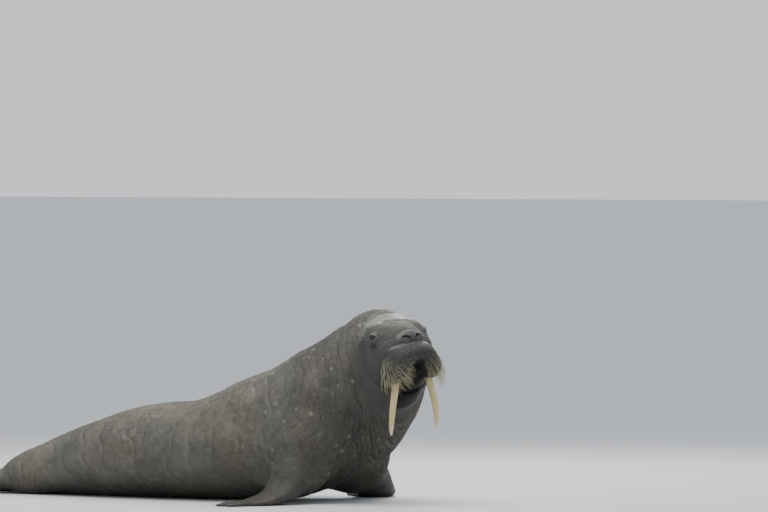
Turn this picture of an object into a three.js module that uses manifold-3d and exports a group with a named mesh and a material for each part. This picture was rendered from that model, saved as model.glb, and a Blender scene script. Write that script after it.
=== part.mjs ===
// A life-size walrus, resting on its belly with its head raised and turned to its right.
// Millimetres. +X runs towards the head end, +Y to the animal's left, +Z up. The floor is z = 0,
// and the origin lies on the belly's resting flat, under the middle of the trunk.
import * as THREE from "three";
import { ConvexGeometry } from "three/addons/geometries/ConvexGeometry.js";
import { mergeVertices } from "three/addons/utils/BufferGeometryUtils.js";
import Module from "manifold-3d";

const wasm = await Module();
wasm.setup();

// Clearance that neighbouring nodes keep
const GAP = 0.3;

// The trunk, from the tail's root to inside the skull: centre x, y, z, half width and half height
const TRUNK = [
  [-1400, 0, 86, 62, 46],
  [-1270, 0, 112, 130, 92],
  [-1080, 0, 142, 200, 142],
  [-820, 0, 184, 285, 194],
  [-500, 0, 228, 358, 240],
  [-150, 0, 250, 405, 260],
  [150, 0, 305, 420, 317],
  [400, 0, 376, 405, 336],
  [590, -8, 469, 366, 344],
  [745, -42, 582, 318, 313],
  [865, -100, 692, 268, 278],
  [942, -146, 779, 222, 226],
  [1000, -184, 822, 168, 166],
];
const TRUNK_STEPS = 120;
const TRUNK_CAP = 70;
// The trunk is parted across its spine, at places counted in its rows. The neck ends where the head begins
const SECTIONS = {
  rump: { from: 0, to: 4, rings: 10 },
  torso: { from: 4, to: 8.75, rings: 12 },
  neck: { from: 8.75, to: 11.1, rings: 11 },
};
const SKIN_SIDES = 36;
// A section's skin runs on past its ends by this share of a row before it is cut
const SECTION_MARGIN = 0.35;

// The head turns from the trunk's axis. In its own frame, x is forwards, y left and z up, and the
// origin lies midway between the eyes. Angles are in degrees
const HEAD = { at: [1062, -222, 850], yaw: -32, pitch: 3, roll: 7 };

// Masses of flesh in the head's frame: centre, radii, and the width over which each blends
const HEAD_MASSES = [
  { at: [-75, 0, -27], size: [165, 140, 102], soft: 45 },
  { at: [45, 0, -50], size: [92, 98, 72], soft: 70 },
  { at: [102, 0, -30], size: [46, 66, 40], soft: 34 },
  { at: [115, 0, -27], size: [35, 66, 35], soft: 10 },
  { at: [-10, 108, -2], size: [58, 42, 42], soft: 34, pair: true },
  { at: [-32, 80, 32], size: [58, 48, 34], soft: 30, pair: true },
  { at: [-35, 92, -110], size: [120, 66, 92], soft: 62, pair: true },
  { at: [28, 98, -64], size: [62, 50, 44], soft: 30, pair: true },
  { at: [-62, 0, -196], size: [132, 118, 104], soft: 140 },
];
// Behind the ears the head is parted from the neck, on a plane that leans back from upright by some degrees
const HEAD_CUT = { at: [-104, 0, -70], lean: 10, wide: 200, high: 200, margin: 40 };
// The head's skin lies in rings from there to straight ahead, as seen from a middle
const HEAD_SKIN = { centre: [-30, 0, -70], reach: [150, 150, 130], rings: 22 };
// The shoulder and hip bulge from the trunk, in the part's frame
const TRUNK_MASSES = [
  { at: [500, 290, 215], size: [200, 125, 190], soft: 120, pair: true },
  { at: [-1190, 95, 95], size: [150, 75, 85], soft: 90, pair: true },
];
// The two whisker pads run together over the mouth and part below it, with the lower jaw between the tusks
const MUZZLE = { centre: [84, 0, -104], reach: [114, 150, 88] };
const MUZZLE_MASSES = [
  { at: [86, 66, -128], size: [108, 68, 72], soft: 1 },
  { at: [86, -66, -128], size: [108, 68, 72], soft: 24 },
  { at: [74, 100, -172], size: [100, 58, 66], soft: 34, pair: true },
  { at: [100, 0, -94], size: [98, 92, 52], soft: 50 },
];
const JAW = { centre: [30, 0, -206], reach: [100, 68, 60] };
const JAW_MASSES = [
  { at: [26, 0, -220], size: [104, 70, 58], soft: 1 },
  { at: [102, 0, -184], size: [48, 46, 24], soft: 16 },
];

// Eyes with a ring of lids, ear pits, nostrils and tusks, in the head's frame
const EYE = { at: [0, 138, 5], radius: 19, facing: 62, sides: 12, rings: 8 };
const LIDS = { radius: 17, tube: 6, out: 10, flat: 0.72, sides: 6, steps: 14 };
const EAR_PIT = { from: [-78, 0, 6], size: [9, 14, 5], sides: 10, rings: 6 };
// A nostril's slit is an arc seen from ahead, round a place left of the middle and above the eyes' level
const NOSTRIL = { middle: [36, -29], behind: 60, radius: 22, tube: 4.2, from: 50, to: 205, steps: 8 };
// Down each tusk: centre, half width across, and half depth fore and aft
const TUSK = [
  [66, 62, -120, 19, 22],
  [78, 84, -200, 18, 22],
  [73, 104, -280, 17, 21],
  [58, 122, -370, 15, 18],
  [38, 130, -450, 11, 13],
  [27, 130, -488, 5, 6],
];

// Whiskers grow in rows from each pad, longest low down and at the sides
const WHISKERS = {
  rows: 7,
  columns: 9,
  root: 2.4,
  tip: 0.5,
  sides: 3,
  steps: 3,
  sunk: 7,
  longest: 96,
  shortest: 24,
  // Degrees round the pad from its middle, and up from level
  around: [-56, 108],
  upwards: [26, -60],
  // They spread over the pad from its middle, as on a ball of these radii
  middle: [84, 84, -146],
  spread: [106, 78, 84],
  // The place across the pad where they are shortest, and how soon they reach their full length
  short: 0.25,
  growth: 1.35,
  // Shares of the length by which they stand out, slow down and hang
  out: 0.62,
  slows: 0.42,
  ahead: 0.1,
  inwards: 0.16,
  hangs: 0.3,
  droops: 0.5,
  // Tried one after another, until a whisker is clear of its neighbours
  droop: [1, 0.6, 0.2, -0.2],
};

// Limbs on the left side: centre x, y, z, half width and half thickness
const FORE_LIMB = [
  [500, 250, 230, 120, 120],
  [530, 370, 138, 116, 94],
  [522, 452, 68, 108, 62],
  [492, 530, 34, 104, 36],
  [450, 604, 17, 102, 21],
  [408, 668, 8, 84, 11],
];
const HIND_LIMB = [
  [-1290, 80, 88, 84, 60],
  [-1400, 112, 54, 76, 44],
  [-1480, 136, 32, 84, 32],
  [-1580, 160, 17, 104, 21],
  [-1680, 184, 9, 112, 12],
];
// Digits fan out from the middle of a palm. Each has its place across the palm, its splay from the
// heading, which is counted from +X towards +Y, and its length and half width
const FORE_FAN = {
  palm: [506, 496],
  heading: 123,
  digits: [
    { across: 66, splay: -6, length: 318, wide: 29 },
    { across: 33, splay: -2, length: 340, wide: 26 },
    { across: 0, splay: 4, length: 318, wide: 25 },
    { across: -32, splay: 10, length: 276, wide: 25 },
    { across: -60, splay: 17, length: 212, wide: 25 },
  ],
};
const HIND_FAN = {
  palm: [-1495, 150],
  heading: 171,
  digits: [
    { across: 58, splay: -10, length: 420, wide: 31 },
    { across: 29, splay: -5, length: 342, wide: 24 },
    { across: 0, splay: 0, length: 316, wide: 23 },
    { across: -29, splay: 5, length: 336, wide: 24 },
    { across: -58, splay: 10, length: 404, wide: 31 },
  ],
};
// A digit is this thick for its width at the palm, and thins and narrows by these shares to its tip.
// Its skin lies a little above the floor at the palm and is cut flat by it
const DIGIT = {
  thick: 0.7,
  thins: 0.6,
  narrows: 0.25,
  places: [0, 0.5, 0.9, 1],
  tip: 0.5,
  raised: 0.85,
  steps: 4,
  sides: 8,
};
// The web between two digits reaches this far along them, and is this thick at the palm and at its edge
const WEB = { reach: 0.94, palm: 26, edge: 7, below: -1 };
const CLAW = { length: 26, radius: 6, sides: 5, flat: 0.7, place: 0.86, raised: 1.75, dips: 6 };
const LIMB_STEPS = 9;
const LIMB_SIDES = 14;
const TAIL = [
  [-1370, 0, 92, 40, 30],
  [-1430, 0, 88, 34, 22],
  [-1490, 0, 78, 22, 13],
  [-1520, 0, 72, 8, 6],
];
const TAIL_STEPS = 6;
const TAIL_SIDES = 12;

const radians = THREE.MathUtils.degToRad;
const vector = (values) => new THREE.Vector3(...values);
const mirrored = (rows) => rows.map(([x, y, ...rest]) => [x, -y, ...rest]);

const headMatrix = new THREE.Matrix4()
  .makeRotationFromEuler(
    new THREE.Euler(radians(HEAD.roll), radians(-HEAD.pitch), radians(HEAD.yaw), "ZYX"),
  )
  .setPosition(...HEAD.at);
const headInverse = headMatrix.clone().invert();

// How a search along a ray steps out, how far it goes, and how often it halves the last step
const SEARCH = { step: 0.06, farthest: 4, halvings: 18 };
const TINY = 1e-6;

// Distances are negative inside
function blend(a, b, soft) {
  const share = Math.max(soft - Math.abs(a - b), 0) / soft;
  return Math.min(a, b) - (share * share * soft) / 4;
}

function ellipsoid(p, centre, size) {
  const off = p.clone().sub(vector(centre));
  const reach = off.length();
  const share = off.divide(vector(size)).length();
  return share < TINY ? -Math.min(...size) : reach * (1 - 1 / share);
}

function blendMasses(distance, p, masses) {
  for (const mass of masses) {
    const near = mass.pair ? new THREE.Vector3(p.x, Math.abs(p.y), p.z) : p;
    const own = ellipsoid(near, mass.at, mass.size);
    distance = distance === Infinity ? own : blend(distance, own, mass.soft);
  }
  return distance;
}

// A row of numbers at t along rows of numbers, on a smooth curve through them all
function between(rows, t) {
  const i = Math.min(Math.max(Math.floor(t), 0), rows.length - 2);
  const f = t - i;
  const [b, c] = [rows[i], rows[i + 1]];
  const a = rows[i - 1] ?? b.map((v, k) => 2 * v - c[k]);
  const d = rows[i + 2] ?? c.map((v, k) => 2 * v - b[k]);
  return b.map((v, k) => {
    const bend = 2 * a[k] - 5 * v + 4 * c[k] - d[k];
    const turn = 3 * (v - c[k]) + d[k] - a[k];
    return v + 0.5 * f * (c[k] - a[k] + f * (bend + f * turn));
  });
}

// Rings along a limb: each has a centre, its axis, and the half axes that lie level and upwards across it
function ringsAlong(rows, steps, from = 0, to = rows.length - 1) {
  const places = Array.from({ length: steps + 1 }, (_, i) => from + (i / steps) * (to - from));
  const samples = places.map((place) => between(rows, place));
  return samples.map((row, i) => {
    const before = vector(samples[Math.max(i - 1, 0)].slice(0, 3));
    const after = vector(samples[Math.min(i + 1, steps)].slice(0, 3));
    const axis = after.sub(before).normalize();
    const side = new THREE.Vector3(0, 0, 1).cross(axis).normalize();
    const up = axis.clone().cross(side);
    return { centre: vector(row.slice(0, 3)), axis, side, up, wide: row[3], high: row[4] };
  });
}

const trunkRings = ringsAlong(TRUNK, TRUNK_STEPS);

// The trunk's distance, from the nearest place on its spine
function trunk(p) {
  let nearest = 0;
  let least = Infinity;
  trunkRings.forEach((ring, i) => {
    const d = ring.centre.distanceToSquared(p);
    if (d < least) [least, nearest] = [d, i];
  });
  const ring = trunkRings[nearest];
  const off = p.clone().sub(ring.centre);
  const slide = off.dot(ring.axis);
  const other = trunkRings[nearest + Math.sign(slide)] ?? ring;
  const span = ring.centre.distanceTo(other.centre) || 1;
  const f = Math.min(Math.abs(slide) / span, 0.5) * (other === ring ? 0 : 1);
  const mix = (a, b) => a + (b - a) * f;
  const centre = ring.centre.clone().lerp(other.centre, f);
  const from = p.clone().sub(centre);
  const side = from.dot(ring.side.clone().lerp(other.side, f).normalize());
  const up = from.dot(ring.up.clone().lerp(other.up, f).normalize());
  const along = other === ring ? slide : 0;
  const q = Math.hypot(side / mix(ring.wide, other.wide), up / mix(ring.high, other.high), along / TRUNK_CAP);
  const reach = Math.hypot(side, up, along);
  return q < TINY ? -ring.high : reach * (1 - 1 / q);
}

function flesh(p) {
  const distance = blendMasses(trunk(p), p, TRUNK_MASSES);
  return blendMasses(distance, p.clone().applyMatrix4(headInverse), HEAD_MASSES);
}

// How far out from a centre, in units of a direction, the distance reaches a level
function crossing(centre, direction, field, level) {
  const at = (t) => field(centre.clone().addScaledVector(direction, t)) - level;
  let low = 0;
  while (low < SEARCH.farthest && at(low + SEARCH.step) < 0) low += SEARCH.step;
  let high = low + SEARCH.step;
  for (let i = 0; i < SEARCH.halvings; i++) {
    const middle = (low + high) / 2;
    if (at(middle) < 0) low = middle;
    else high = middle;
  }
  return (low + high) / 2;
}

// Closed mesh through rings of points, with a point at each end
function ringMesh(rings, first, last) {
  const sides = rings[0].length;
  const points = [first, ...rings.flat(), last];
  const index = [];
  const at = (ring, side) => 1 + ring * sides + (side % sides);
  for (let s = 0; s < sides; s++) {
    index.push(0, at(0, s + 1), at(0, s));
    for (let r = 0; r + 1 < rings.length; r++) {
      index.push(at(r, s), at(r, s + 1), at(r + 1, s + 1));
      index.push(at(r, s), at(r + 1, s + 1), at(r + 1, s));
    }
    index.push(at(rings.length - 1, s), at(rings.length - 1, s + 1), points.length - 1);
  }
  return new THREE.BufferGeometry().setFromPoints(points).setIndex(index);
}

function ringPoints(ring, sides, scale = () => 1) {
  return Array.from({ length: sides }, (_, i) => {
    const angle = (2 * Math.PI * i) / sides;
    const direction = ring.side
      .clone()
      .multiplyScalar(ring.wide * Math.cos(angle))
      .addScaledVector(ring.up, ring.high * Math.sin(angle));
    return ring.centre.clone().addScaledVector(direction, scale(direction));
  });
}

// A limb whose skin is its own ellipses, rounded off at both ends
const LIMB_CAP = 0.35;
function limb(rows, steps, sides) {
  const rings = ringsAlong(rows, steps);
  const [root, tip] = [rings[0], rings[steps]];
  const end = (ring, sign) => {
    const out = sign * LIMB_CAP * Math.min(ring.wide, ring.high);
    return ring.centre.clone().addScaledVector(ring.axis, out);
  };
  return ringMesh(rings.map((ring) => ringPoints(ring, sides)), end(root, -1), end(tip, 1));
}

// Solids, for joins and cuts. Points closer than this are one
const MERGED = 1e-3;
function solid(geometry, matrix) {
  const plain = geometry.clone();
  for (const name of Object.keys(plain.attributes)) if (name !== "position") plain.deleteAttribute(name);
  if (matrix) plain.applyMatrix4(matrix);
  const merged = mergeVertices(plain, MERGED);
  const index = Array.from(merged.index.array);
  const kept = [];
  for (let i = 0; i < index.length; i += 3) {
    const [a, b, c] = index.slice(i, i + 3);
    if (a !== b && b !== c && a !== c) kept.push(a, b, c);
  }
  return new wasm.Manifold(
    new wasm.Mesh({
      numProp: 3,
      vertProperties: new Float32Array(merged.attributes.position.array),
      triVerts: new Uint32Array(kept),
    }),
  );
}

const join = (solids) => solids.reduce((all, one) => all.add(one));
const cut = (from, ...tools) => tools.reduce((rest, tool) => rest.subtract(tool), from);
const largest = (made) => made.decompose().reduce((a, b) => (a.volume() > b.volume() ? a : b));

function geometryOf(made) {
  const mesh = made.getMesh();
  const points = new Float32Array(mesh.numVert * 3);
  for (let i = 0; i < mesh.numVert; i++) {
    points.set(mesh.vertProperties.subarray(i * mesh.numProp, i * mesh.numProp + 3), i * 3);
  }
  return new THREE.BufferGeometry()
    .setAttribute("position", new THREE.BufferAttribute(points, 3))
    .setIndex(new THREE.BufferAttribute(new Uint32Array(mesh.triVerts), 1));
}

// Everything above the floor
const ROOM = 6000;
const aboveFloor = solid(new THREE.BoxGeometry(ROOM, ROOM, ROOM).translate(0, 0, ROOM / 2));

// A slab that lies past a ring of the body, from there on along its axis
function beyond(ring, shift) {
  const matrix = new THREE.Matrix4().makeBasis(ring.side, ring.up, ring.axis);
  matrix.setPosition(ring.centre.clone().addScaledVector(ring.axis, shift + ROOM / 2));
  return solid(new THREE.BoxGeometry(ROOM, ROOM, ROOM), matrix);
}

// The ring of the trunk at one place along its spine
function ringAt(place) {
  const near = 0.01;
  return ringsAlong(TRUNK, 2, place - near, place + near)[1];
}

// The ring on which head and neck meet, moved along its axis
function headRing(shift) {
  const lean = radians(HEAD_CUT.lean);
  const axis = new THREE.Vector3(Math.cos(lean), 0, Math.sin(lean)).transformDirection(headMatrix);
  const side = new THREE.Vector3(0, 1, 0).transformDirection(headMatrix);
  const up = axis.clone().cross(side);
  const centre = vector(HEAD_CUT.at).applyMatrix4(headMatrix).addScaledVector(axis, shift);
  return { centre, axis, side, up, wide: HEAD_CUT.wide, high: HEAD_CUT.high };
}

// A section's rings. Those of the neck turn by and by towards the head
function sectionRings({ from, to, rings }) {
  const end = to === SECTIONS.neck.to ? headRing(0) : null;
  const own = Array.from({ length: rings + 1 }, (_, i) => {
    const t = i / rings;
    const ring = ringAt(from + (to - from) * t);
    if (!end) return ring;
    const start = ringAt(from);
    ring.centre.lerp(end.centre, t * t);
    for (const way of ["axis", "side", "up"]) ring[way] = start[way].clone().lerp(end[way], t).normalize();
    ring.wide += (end.wide - ring.wide) * t;
    ring.high += (end.high - ring.high) * t;
    return ring;
  });
  const before = from > 0 ? [ringAt(from - SECTION_MARGIN)] : [];
  return [...before, ...own, end ? headRing(HEAD_CUT.margin) : ringAt(to + SECTION_MARGIN)];
}

const skinOf = (ring, level) =>
  ringPoints(ring, SKIN_SIDES, (direction) => crossing(ring.centre, direction, flesh, level));

// One section's skin, run on past its ends so that cuts can part it from the next
function sectionSkin(section, level) {
  const spine = sectionRings(section);
  const first = spine[0].centre.clone();
  if (section.from === 0) first.addScaledVector(spine[0].axis, -TRUNK_CAP - level);
  return solid(ringMesh(spine.map((ring) => skinOf(ring, level)), first, spine.at(-1).centre));
}

// The head's skin, from inside the neck round to the front of the face
function headSkin(level) {
  const { centre, reach, rings } = HEAD_SKIN;
  const middle = vector(centre).applyMatrix4(headMatrix);
  const turn = new THREE.Matrix4().extractRotation(headMatrix);
  const spot = (ahead, round) => {
    const across = Math.sin(ahead);
    const own = new THREE.Vector3(Math.cos(ahead), across * Math.cos(round), across * Math.sin(round));
    const direction = own.multiply(vector(reach)).applyMatrix4(turn);
    return direction.multiplyScalar(crossing(middle, direction, flesh, level)).add(middle);
  };
  const meeting = skinOf(headRing(0), level);
  const rays = meeting.map((p) => {
    const ray = p.clone().applyMatrix4(headInverse).sub(vector(centre)).divide(vector(reach));
    return [Math.atan2(Math.hypot(ray.y, ray.z), ray.x), Math.atan2(ray.z, ray.y)];
  });
  const face = Array.from({ length: rings - 1 }, (_, i) => {
    const share = 1 - (i + 1) / rings;
    return rays.map(([ahead, round]) => spot(ahead * share, round));
  });
  const inside = headRing(-HEAD_CUT.margin);
  return solid(ringMesh([skinOf(inside, level), meeting, ...face], inside.centre, spot(0, 0)));
}

// A ball about a centre in the head's frame, pushed out to where masses of flesh reach a level.
// It has this many rings for each of its sides
const BALL_RINGS = 0.6;
function swelled({ centre, reach }, masses, level, detail) {
  const ball = new THREE.SphereGeometry(1, detail, Math.round(detail * BALL_RINGS));
  const field = (p) => blendMasses(Infinity, p, masses);
  const middle = vector(centre);
  const points = ball.attributes.position;
  for (let i = 0; i < points.count; i++) {
    const direction = new THREE.Vector3().fromBufferAttribute(points, i).multiply(vector(reach));
    const out = crossing(middle, direction, field, level);
    points.setXYZ(i, ...direction.multiplyScalar(out).add(middle));
  }
  return solid(ball, headMatrix);
}

const TUSK_RINGS = 8;
const TUSK_SIDES = 12;
const TUSK_POINT = [-1, -4];

function tusk(side, extra) {
  const last = TUSK.length - 1;
  const rings = Array.from({ length: TUSK_RINGS + 1 }, (_, i) => {
    const [x, y, z, wide, deep] = between(TUSK, (i / TUSK_RINGS) * last);
    return Array.from({ length: TUSK_SIDES }, (_, k) => {
      const angle = (2 * Math.PI * k) / TUSK_SIDES;
      return vector([x + (deep + extra) * Math.cos(angle), y * side - (wide + extra) * Math.sin(angle), z]);
    });
  });
  const [top, tip] = [TUSK[0], TUSK[last]];
  const root = vector([top[0], top[1] * side, top[2] + extra + 1]);
  const end = vector([tip[0] + TUSK_POINT[0], tip[1] * side, tip[2] - extra + TUSK_POINT[1]]);
  return solid(ringMesh(rings, root, end), headMatrix);
}

function eyeBall(side, extra) {
  const ball = new THREE.SphereGeometry(EYE.radius + extra, EYE.sides, EYE.rings);
  return solid(ball.translate(EYE.at[0], EYE.at[1] * side, EYE.at[2]), headMatrix);
}

// A ring of lid round the eye, which the eye's own hollow cuts back to a rim
function lids(side) {
  const facing = new THREE.Vector3(Math.cos(radians(EYE.facing)), side * Math.sin(radians(EYE.facing)), 0);
  const up = new THREE.Vector3(0, 0, 1);
  const matrix = new THREE.Matrix4().makeBasis(up.clone().cross(facing), up, facing);
  matrix.setPosition(vector([EYE.at[0], EYE.at[1] * side, EYE.at[2]]).addScaledVector(facing, LIDS.out));
  const ring = new THREE.TorusGeometry(LIDS.radius, LIDS.tube, LIDS.sides, LIDS.steps).scale(1, LIDS.flat, 1);
  return solid(ring.applyMatrix4(matrix), headMatrix);
}

// A nostril is half a ring, sunk in the front of the nose and hooked down beside its middle
function nostril(side) {
  const turn = new THREE.Matrix4().makeBasis(
    new THREE.Vector3(0, 1, 0),
    new THREE.Vector3(0, 0, 1),
    new THREE.Vector3(1, 0, 0),
  );
  const ahead = new THREE.Vector3(1, 0, 0).transformDirection(headMatrix);
  const spots = Array.from({ length: NOSTRIL.steps + 1 }, (_, i) => {
    const angle = radians(THREE.MathUtils.lerp(NOSTRIL.from, NOSTRIL.to, i / NOSTRIL.steps));
    const y = side * (NOSTRIL.middle[0] + NOSTRIL.radius * Math.cos(angle));
    const z = NOSTRIL.middle[1] + NOSTRIL.radius * Math.sin(angle);
    const from = vector([NOSTRIL.behind, y, z]).applyMatrix4(headMatrix);
    const x = crossing(from, ahead.clone().multiplyScalar(NOSTRIL.behind), flesh, 0) * NOSTRIL.behind;
    return new THREE.Vector3(y, z, NOSTRIL.behind + x);
  });
  const arc = new THREE.ExtrudeGeometry(new THREE.Shape().absarc(0, 0, NOSTRIL.tube, 0, 2 * Math.PI), {
    steps: NOSTRIL.steps,
    curveSegments: 4,
    extrudePath: new THREE.CatmullRomCurve3(spots),
  });
  return solid(arc.applyMatrix4(turn), headMatrix);
}

function earPit(side) {
  const out = new THREE.Vector3(0, side, 0).transformDirection(headMatrix);
  const from = vector(EAR_PIT.from).applyMatrix4(headMatrix);
  const surface = crossing(from, out.multiplyScalar(EYE.at[1]), flesh, 0) * EYE.at[1];
  const pit = new THREE.SphereGeometry(1, EAR_PIT.sides, EAR_PIT.rings).scale(...EAR_PIT.size);
  return solid(pit.translate(EAR_PIT.from[0], surface * side, EAR_PIT.from[2]), headMatrix);
}

// Where a whisker roots and which way it sets off, on the left pad in the head's frame
function whiskerRoot(row, column) {
  const [down, across] = [row / (WHISKERS.rows - 1), column / (WHISKERS.columns - 1)];
  const stagger = (row % 2) * 0.5 * ((WHISKERS.around[1] - WHISKERS.around[0]) / WHISKERS.columns);
  const around = radians(THREE.MathUtils.lerp(...WHISKERS.around, across) - stagger);
  const upwards = radians(THREE.MathUtils.lerp(...WHISKERS.upwards, down));
  const out = new THREE.Vector3(
    Math.cos(upwards) * Math.cos(around),
    Math.cos(upwards) * Math.sin(around),
    Math.sin(upwards),
  );
  const centre = vector(WHISKERS.middle);
  const ray = out.clone().multiply(vector(WHISKERS.spread));
  const surface = (p) => blendMasses(Infinity, p, MUZZLE_MASSES);
  const root = centre.clone().addScaledVector(ray, crossing(centre, ray, surface, 0));
  const grade = (WHISKERS.growth * (down + Math.abs(across - WHISKERS.short))) / 2;
  const length = THREE.MathUtils.lerp(WHISKERS.shortest, WHISKERS.longest, Math.min(grade, 1));
  return { root, out, length };
}

// A bristle that sets off along its root's direction and droops
function whisker({ root, out, length }, side, droop) {
  const { steps, sides, sunk } = WHISKERS;
  const spot = (t) => {
    const outwards = (sunk + length * WHISKERS.out) * (t - WHISKERS.slows * t * t) - sunk;
    const hanging = length * (WHISKERS.hangs + WHISKERS.droops * droop) * t * t;
    const moved = root.clone().addScaledVector(out, outwards);
    const swept = length * t * t * WHISKERS.inwards;
    return moved.add(new THREE.Vector3(length * droop * WHISKERS.ahead * t, -swept, -hanging));
  };
  const rings = Array.from({ length: steps }, (_, i) => {
    const t = i / steps;
    const axis = spot(t + TINY ** 0.5).sub(spot(t)).normalize();
    const across = new THREE.Vector3(0.3, 1, 0.2).cross(axis).normalize();
    const over = axis.clone().cross(across);
    const thick = THREE.MathUtils.lerp(WHISKERS.root, WHISKERS.tip, t);
    return Array.from({ length: sides }, (_, k) => {
      const angle = (2 * Math.PI * k) / sides;
      const way = across.clone().multiplyScalar(Math.cos(angle)).addScaledVector(over, Math.sin(angle));
      return spot(t).addScaledVector(way, thick);
    });
  });
  const mesh = ringMesh(rings, spot(0).addScaledVector(out, -1), spot(1));
  if (side < 0) mirror(mesh);
  return solid(mesh, headMatrix);
}

// Turns a mesh over to the other side, with its faces still outwards
function mirror(mesh) {
  mesh.scale(1, -1, 1);
  const index = mesh.index.array;
  for (let i = 0; i < index.length; i += 3) [index[i + 1], index[i + 2]] = [index[i + 2], index[i + 1]];
}

// The digits of a fan, each with the places on the floor where it starts and ends
function fanned({ palm, heading, digits }) {
  const reach = (length, degrees) => [Math.cos, Math.sin].map((way) => length * way(radians(degrees)));
  return digits.map(({ across, splay, length, wide }) => {
    const [beside, ahead] = [reach(across, heading - 90), reach(length, heading + splay)];
    const from = palm.map((v, k) => v + beside[k]);
    return { from, to: from.map((v, k) => v + ahead[k]), wide };
  });
}

// A place along a digit, at a height over the floor
function along({ from, to }, t, side, height) {
  return new THREE.Vector3(from[0] + (to[0] - from[0]) * t, (from[1] + (to[1] - from[1]) * t) * side, height);
}

// Half a digit's thickness at a place along it
const thickness = (one, t) => one.wide * DIGIT.thick * (1 - DIGIT.thins * t);

// Digits taper from the palm to a round tip
function digit(one, side) {
  const rows = DIGIT.places.map((t) => {
    const round = t === 1 ? DIGIT.tip : 1;
    const high = thickness(one, t) * round;
    return [...along(one, t, side, high * DIGIT.raised), one.wide * (1 - DIGIT.narrows * t) * round, high];
  });
  return solid(limb(rows, DIGIT.steps, DIGIT.sides));
}

// A small nail lies on the digit, short of its tip
function claw(one, side) {
  const heading = Math.atan2((one.to[1] - one.from[1]) * side, one.to[0] - one.from[0]);
  const cone = new THREE.ConeGeometry(CLAW.radius, CLAW.length, CLAW.sides).rotateZ(-Math.PI / 2);
  const nail = cone.scale(1, 1, CLAW.flat).rotateY(radians(CLAW.dips)).rotateZ(heading);
  const height = thickness(one, CLAW.place) * CLAW.raised;
  return solid(nail.translate(...along(one, CLAW.place, side, height)));
}

// The skin stretched between two digits
function web(one, next, side) {
  const corners = [one, next].flatMap((own) => [
    along(own, 0, side, WEB.below),
    along(own, 0, side, WEB.palm),
    along(own, WEB.reach, side, WEB.below),
    along(own, WEB.reach, side, WEB.edge),
  ]);
  return solid(new ConvexGeometry(corners));
}

function flipper(limbRows, fan, side) {
  const rows = side > 0 ? limbRows : mirrored(limbRows);
  const own = fanned(fan);
  const digits = own.flatMap((one) => [digit(one, side), claw(one, side)]);
  const webs = own.slice(1).map((next, i) => web(own[i], next, side));
  return join([solid(limb(rows, LIMB_STEPS, LIMB_SIDES)), ...digits, ...webs]).intersect(aboveFloor);
}

const skins = { head: headSkin(0) };
const grown = { head: headSkin(GAP) };
for (const [name, section] of Object.entries(SECTIONS)) {
  skins[name] = sectionSkin(section, 0);
  grown[name] = sectionSkin(section, GAP);
}
const SIDES = { left: 1, right: -1 };
const bothSides = (make) => Object.values(SIDES).map(make);
const tusksGrown = bothSides((side) => tusk(side, GAP));
const PAD_DETAIL = 26;
const JAW_DETAIL = 20;
const muzzle = swelled(MUZZLE, MUZZLE_MASSES, 0, PAD_DETAIL);
const muzzleGrown = swelled(MUZZLE, MUZZLE_MASSES, GAP, PAD_DETAIL);
const jaw = cut(swelled(JAW, JAW_MASSES, 0, JAW_DETAIL), grown.head, grown.neck, muzzleGrown, ...tusksGrown);
const jawGrown = swelled(JAW, JAW_MASSES, 2 * GAP, JAW_DETAIL);

// The half of the head's frame on one side of its middle plane
function half(side) {
  const slab = new THREE.BoxGeometry(ROOM, ROOM, ROOM).translate(0, (side * (ROOM + GAP)) / 2, 0);
  return solid(slab, headMatrix);
}

// A pad with its whiskers. One that would cross the tusk, jaw or head droops less or is left out
function whiskerPad(side) {
  const pad = cut(muzzle.intersect(half(side)), grown.head, tusk(side, GAP));
  const barred = [...tusksGrown, jawGrown, grown.head, grown.neck, half(-side)];
  const made = [];
  for (let row = 0; row < WHISKERS.rows; row++) {
    for (let column = 0; column < WHISKERS.columns; column++) {
      const place = whiskerRoot(row, column);
      const clear = WHISKERS.droop
        .map((droop) => whisker(place, side, droop))
        .find((one) => barred.every((other) => one.intersect(other).isEmpty()));
      if (clear) made.push(clear);
    }
  }
  return join([pad, ...made]);
}

const parts = new Map();
for (const [name, side] of Object.entries(SIDES)) {
  parts.set(`fore_flipper_${name}`, cut(flipper(FORE_LIMB, FORE_FAN, side), grown.torso));
  parts.set(`hind_flipper_${name}`, cut(flipper(HIND_LIMB, HIND_FAN, side), grown.rump));
  parts.set(`muzzle_${name}`, whiskerPad(side));
  parts.set(`tusk_${name}`, tusk(side, 0));
  parts.set(`eye_${name}`, eyeBall(side, 0));
}
parts.set("lower_jaw", jaw);
parts.set("tail", cut(solid(limb(TAIL, TAIL_STEPS, TAIL_SIDES)), grown.rump));

// A thin cut at a ring parts what lies before it from what lies past it
const before = (ring, made) => made.subtract(beyond(ring, -GAP / 2));
const past = (ring, made) => made.intersect(beyond(ring, GAP / 2));

for (const [name, { from, to }] of Object.entries(SECTIONS)) {
  const end = name === "neck" ? headRing(0) : ringAt(to);
  const whole = before(end, skins[name].intersect(aboveFloor));
  parts.set(name, cut(from > 0 ? past(ringAt(from), whole) : whole, ...tusksGrown));
}
const sockets = bothSides((side) => eyeBall(side, GAP));
const hollows = [...bothSides(nostril), ...bothSides(earPit), ...sockets, ...tusksGrown];
parts.set("head", cut(join([past(headRing(0), skins.head), ...bothSides(lids)]), ...hollows));

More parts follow.
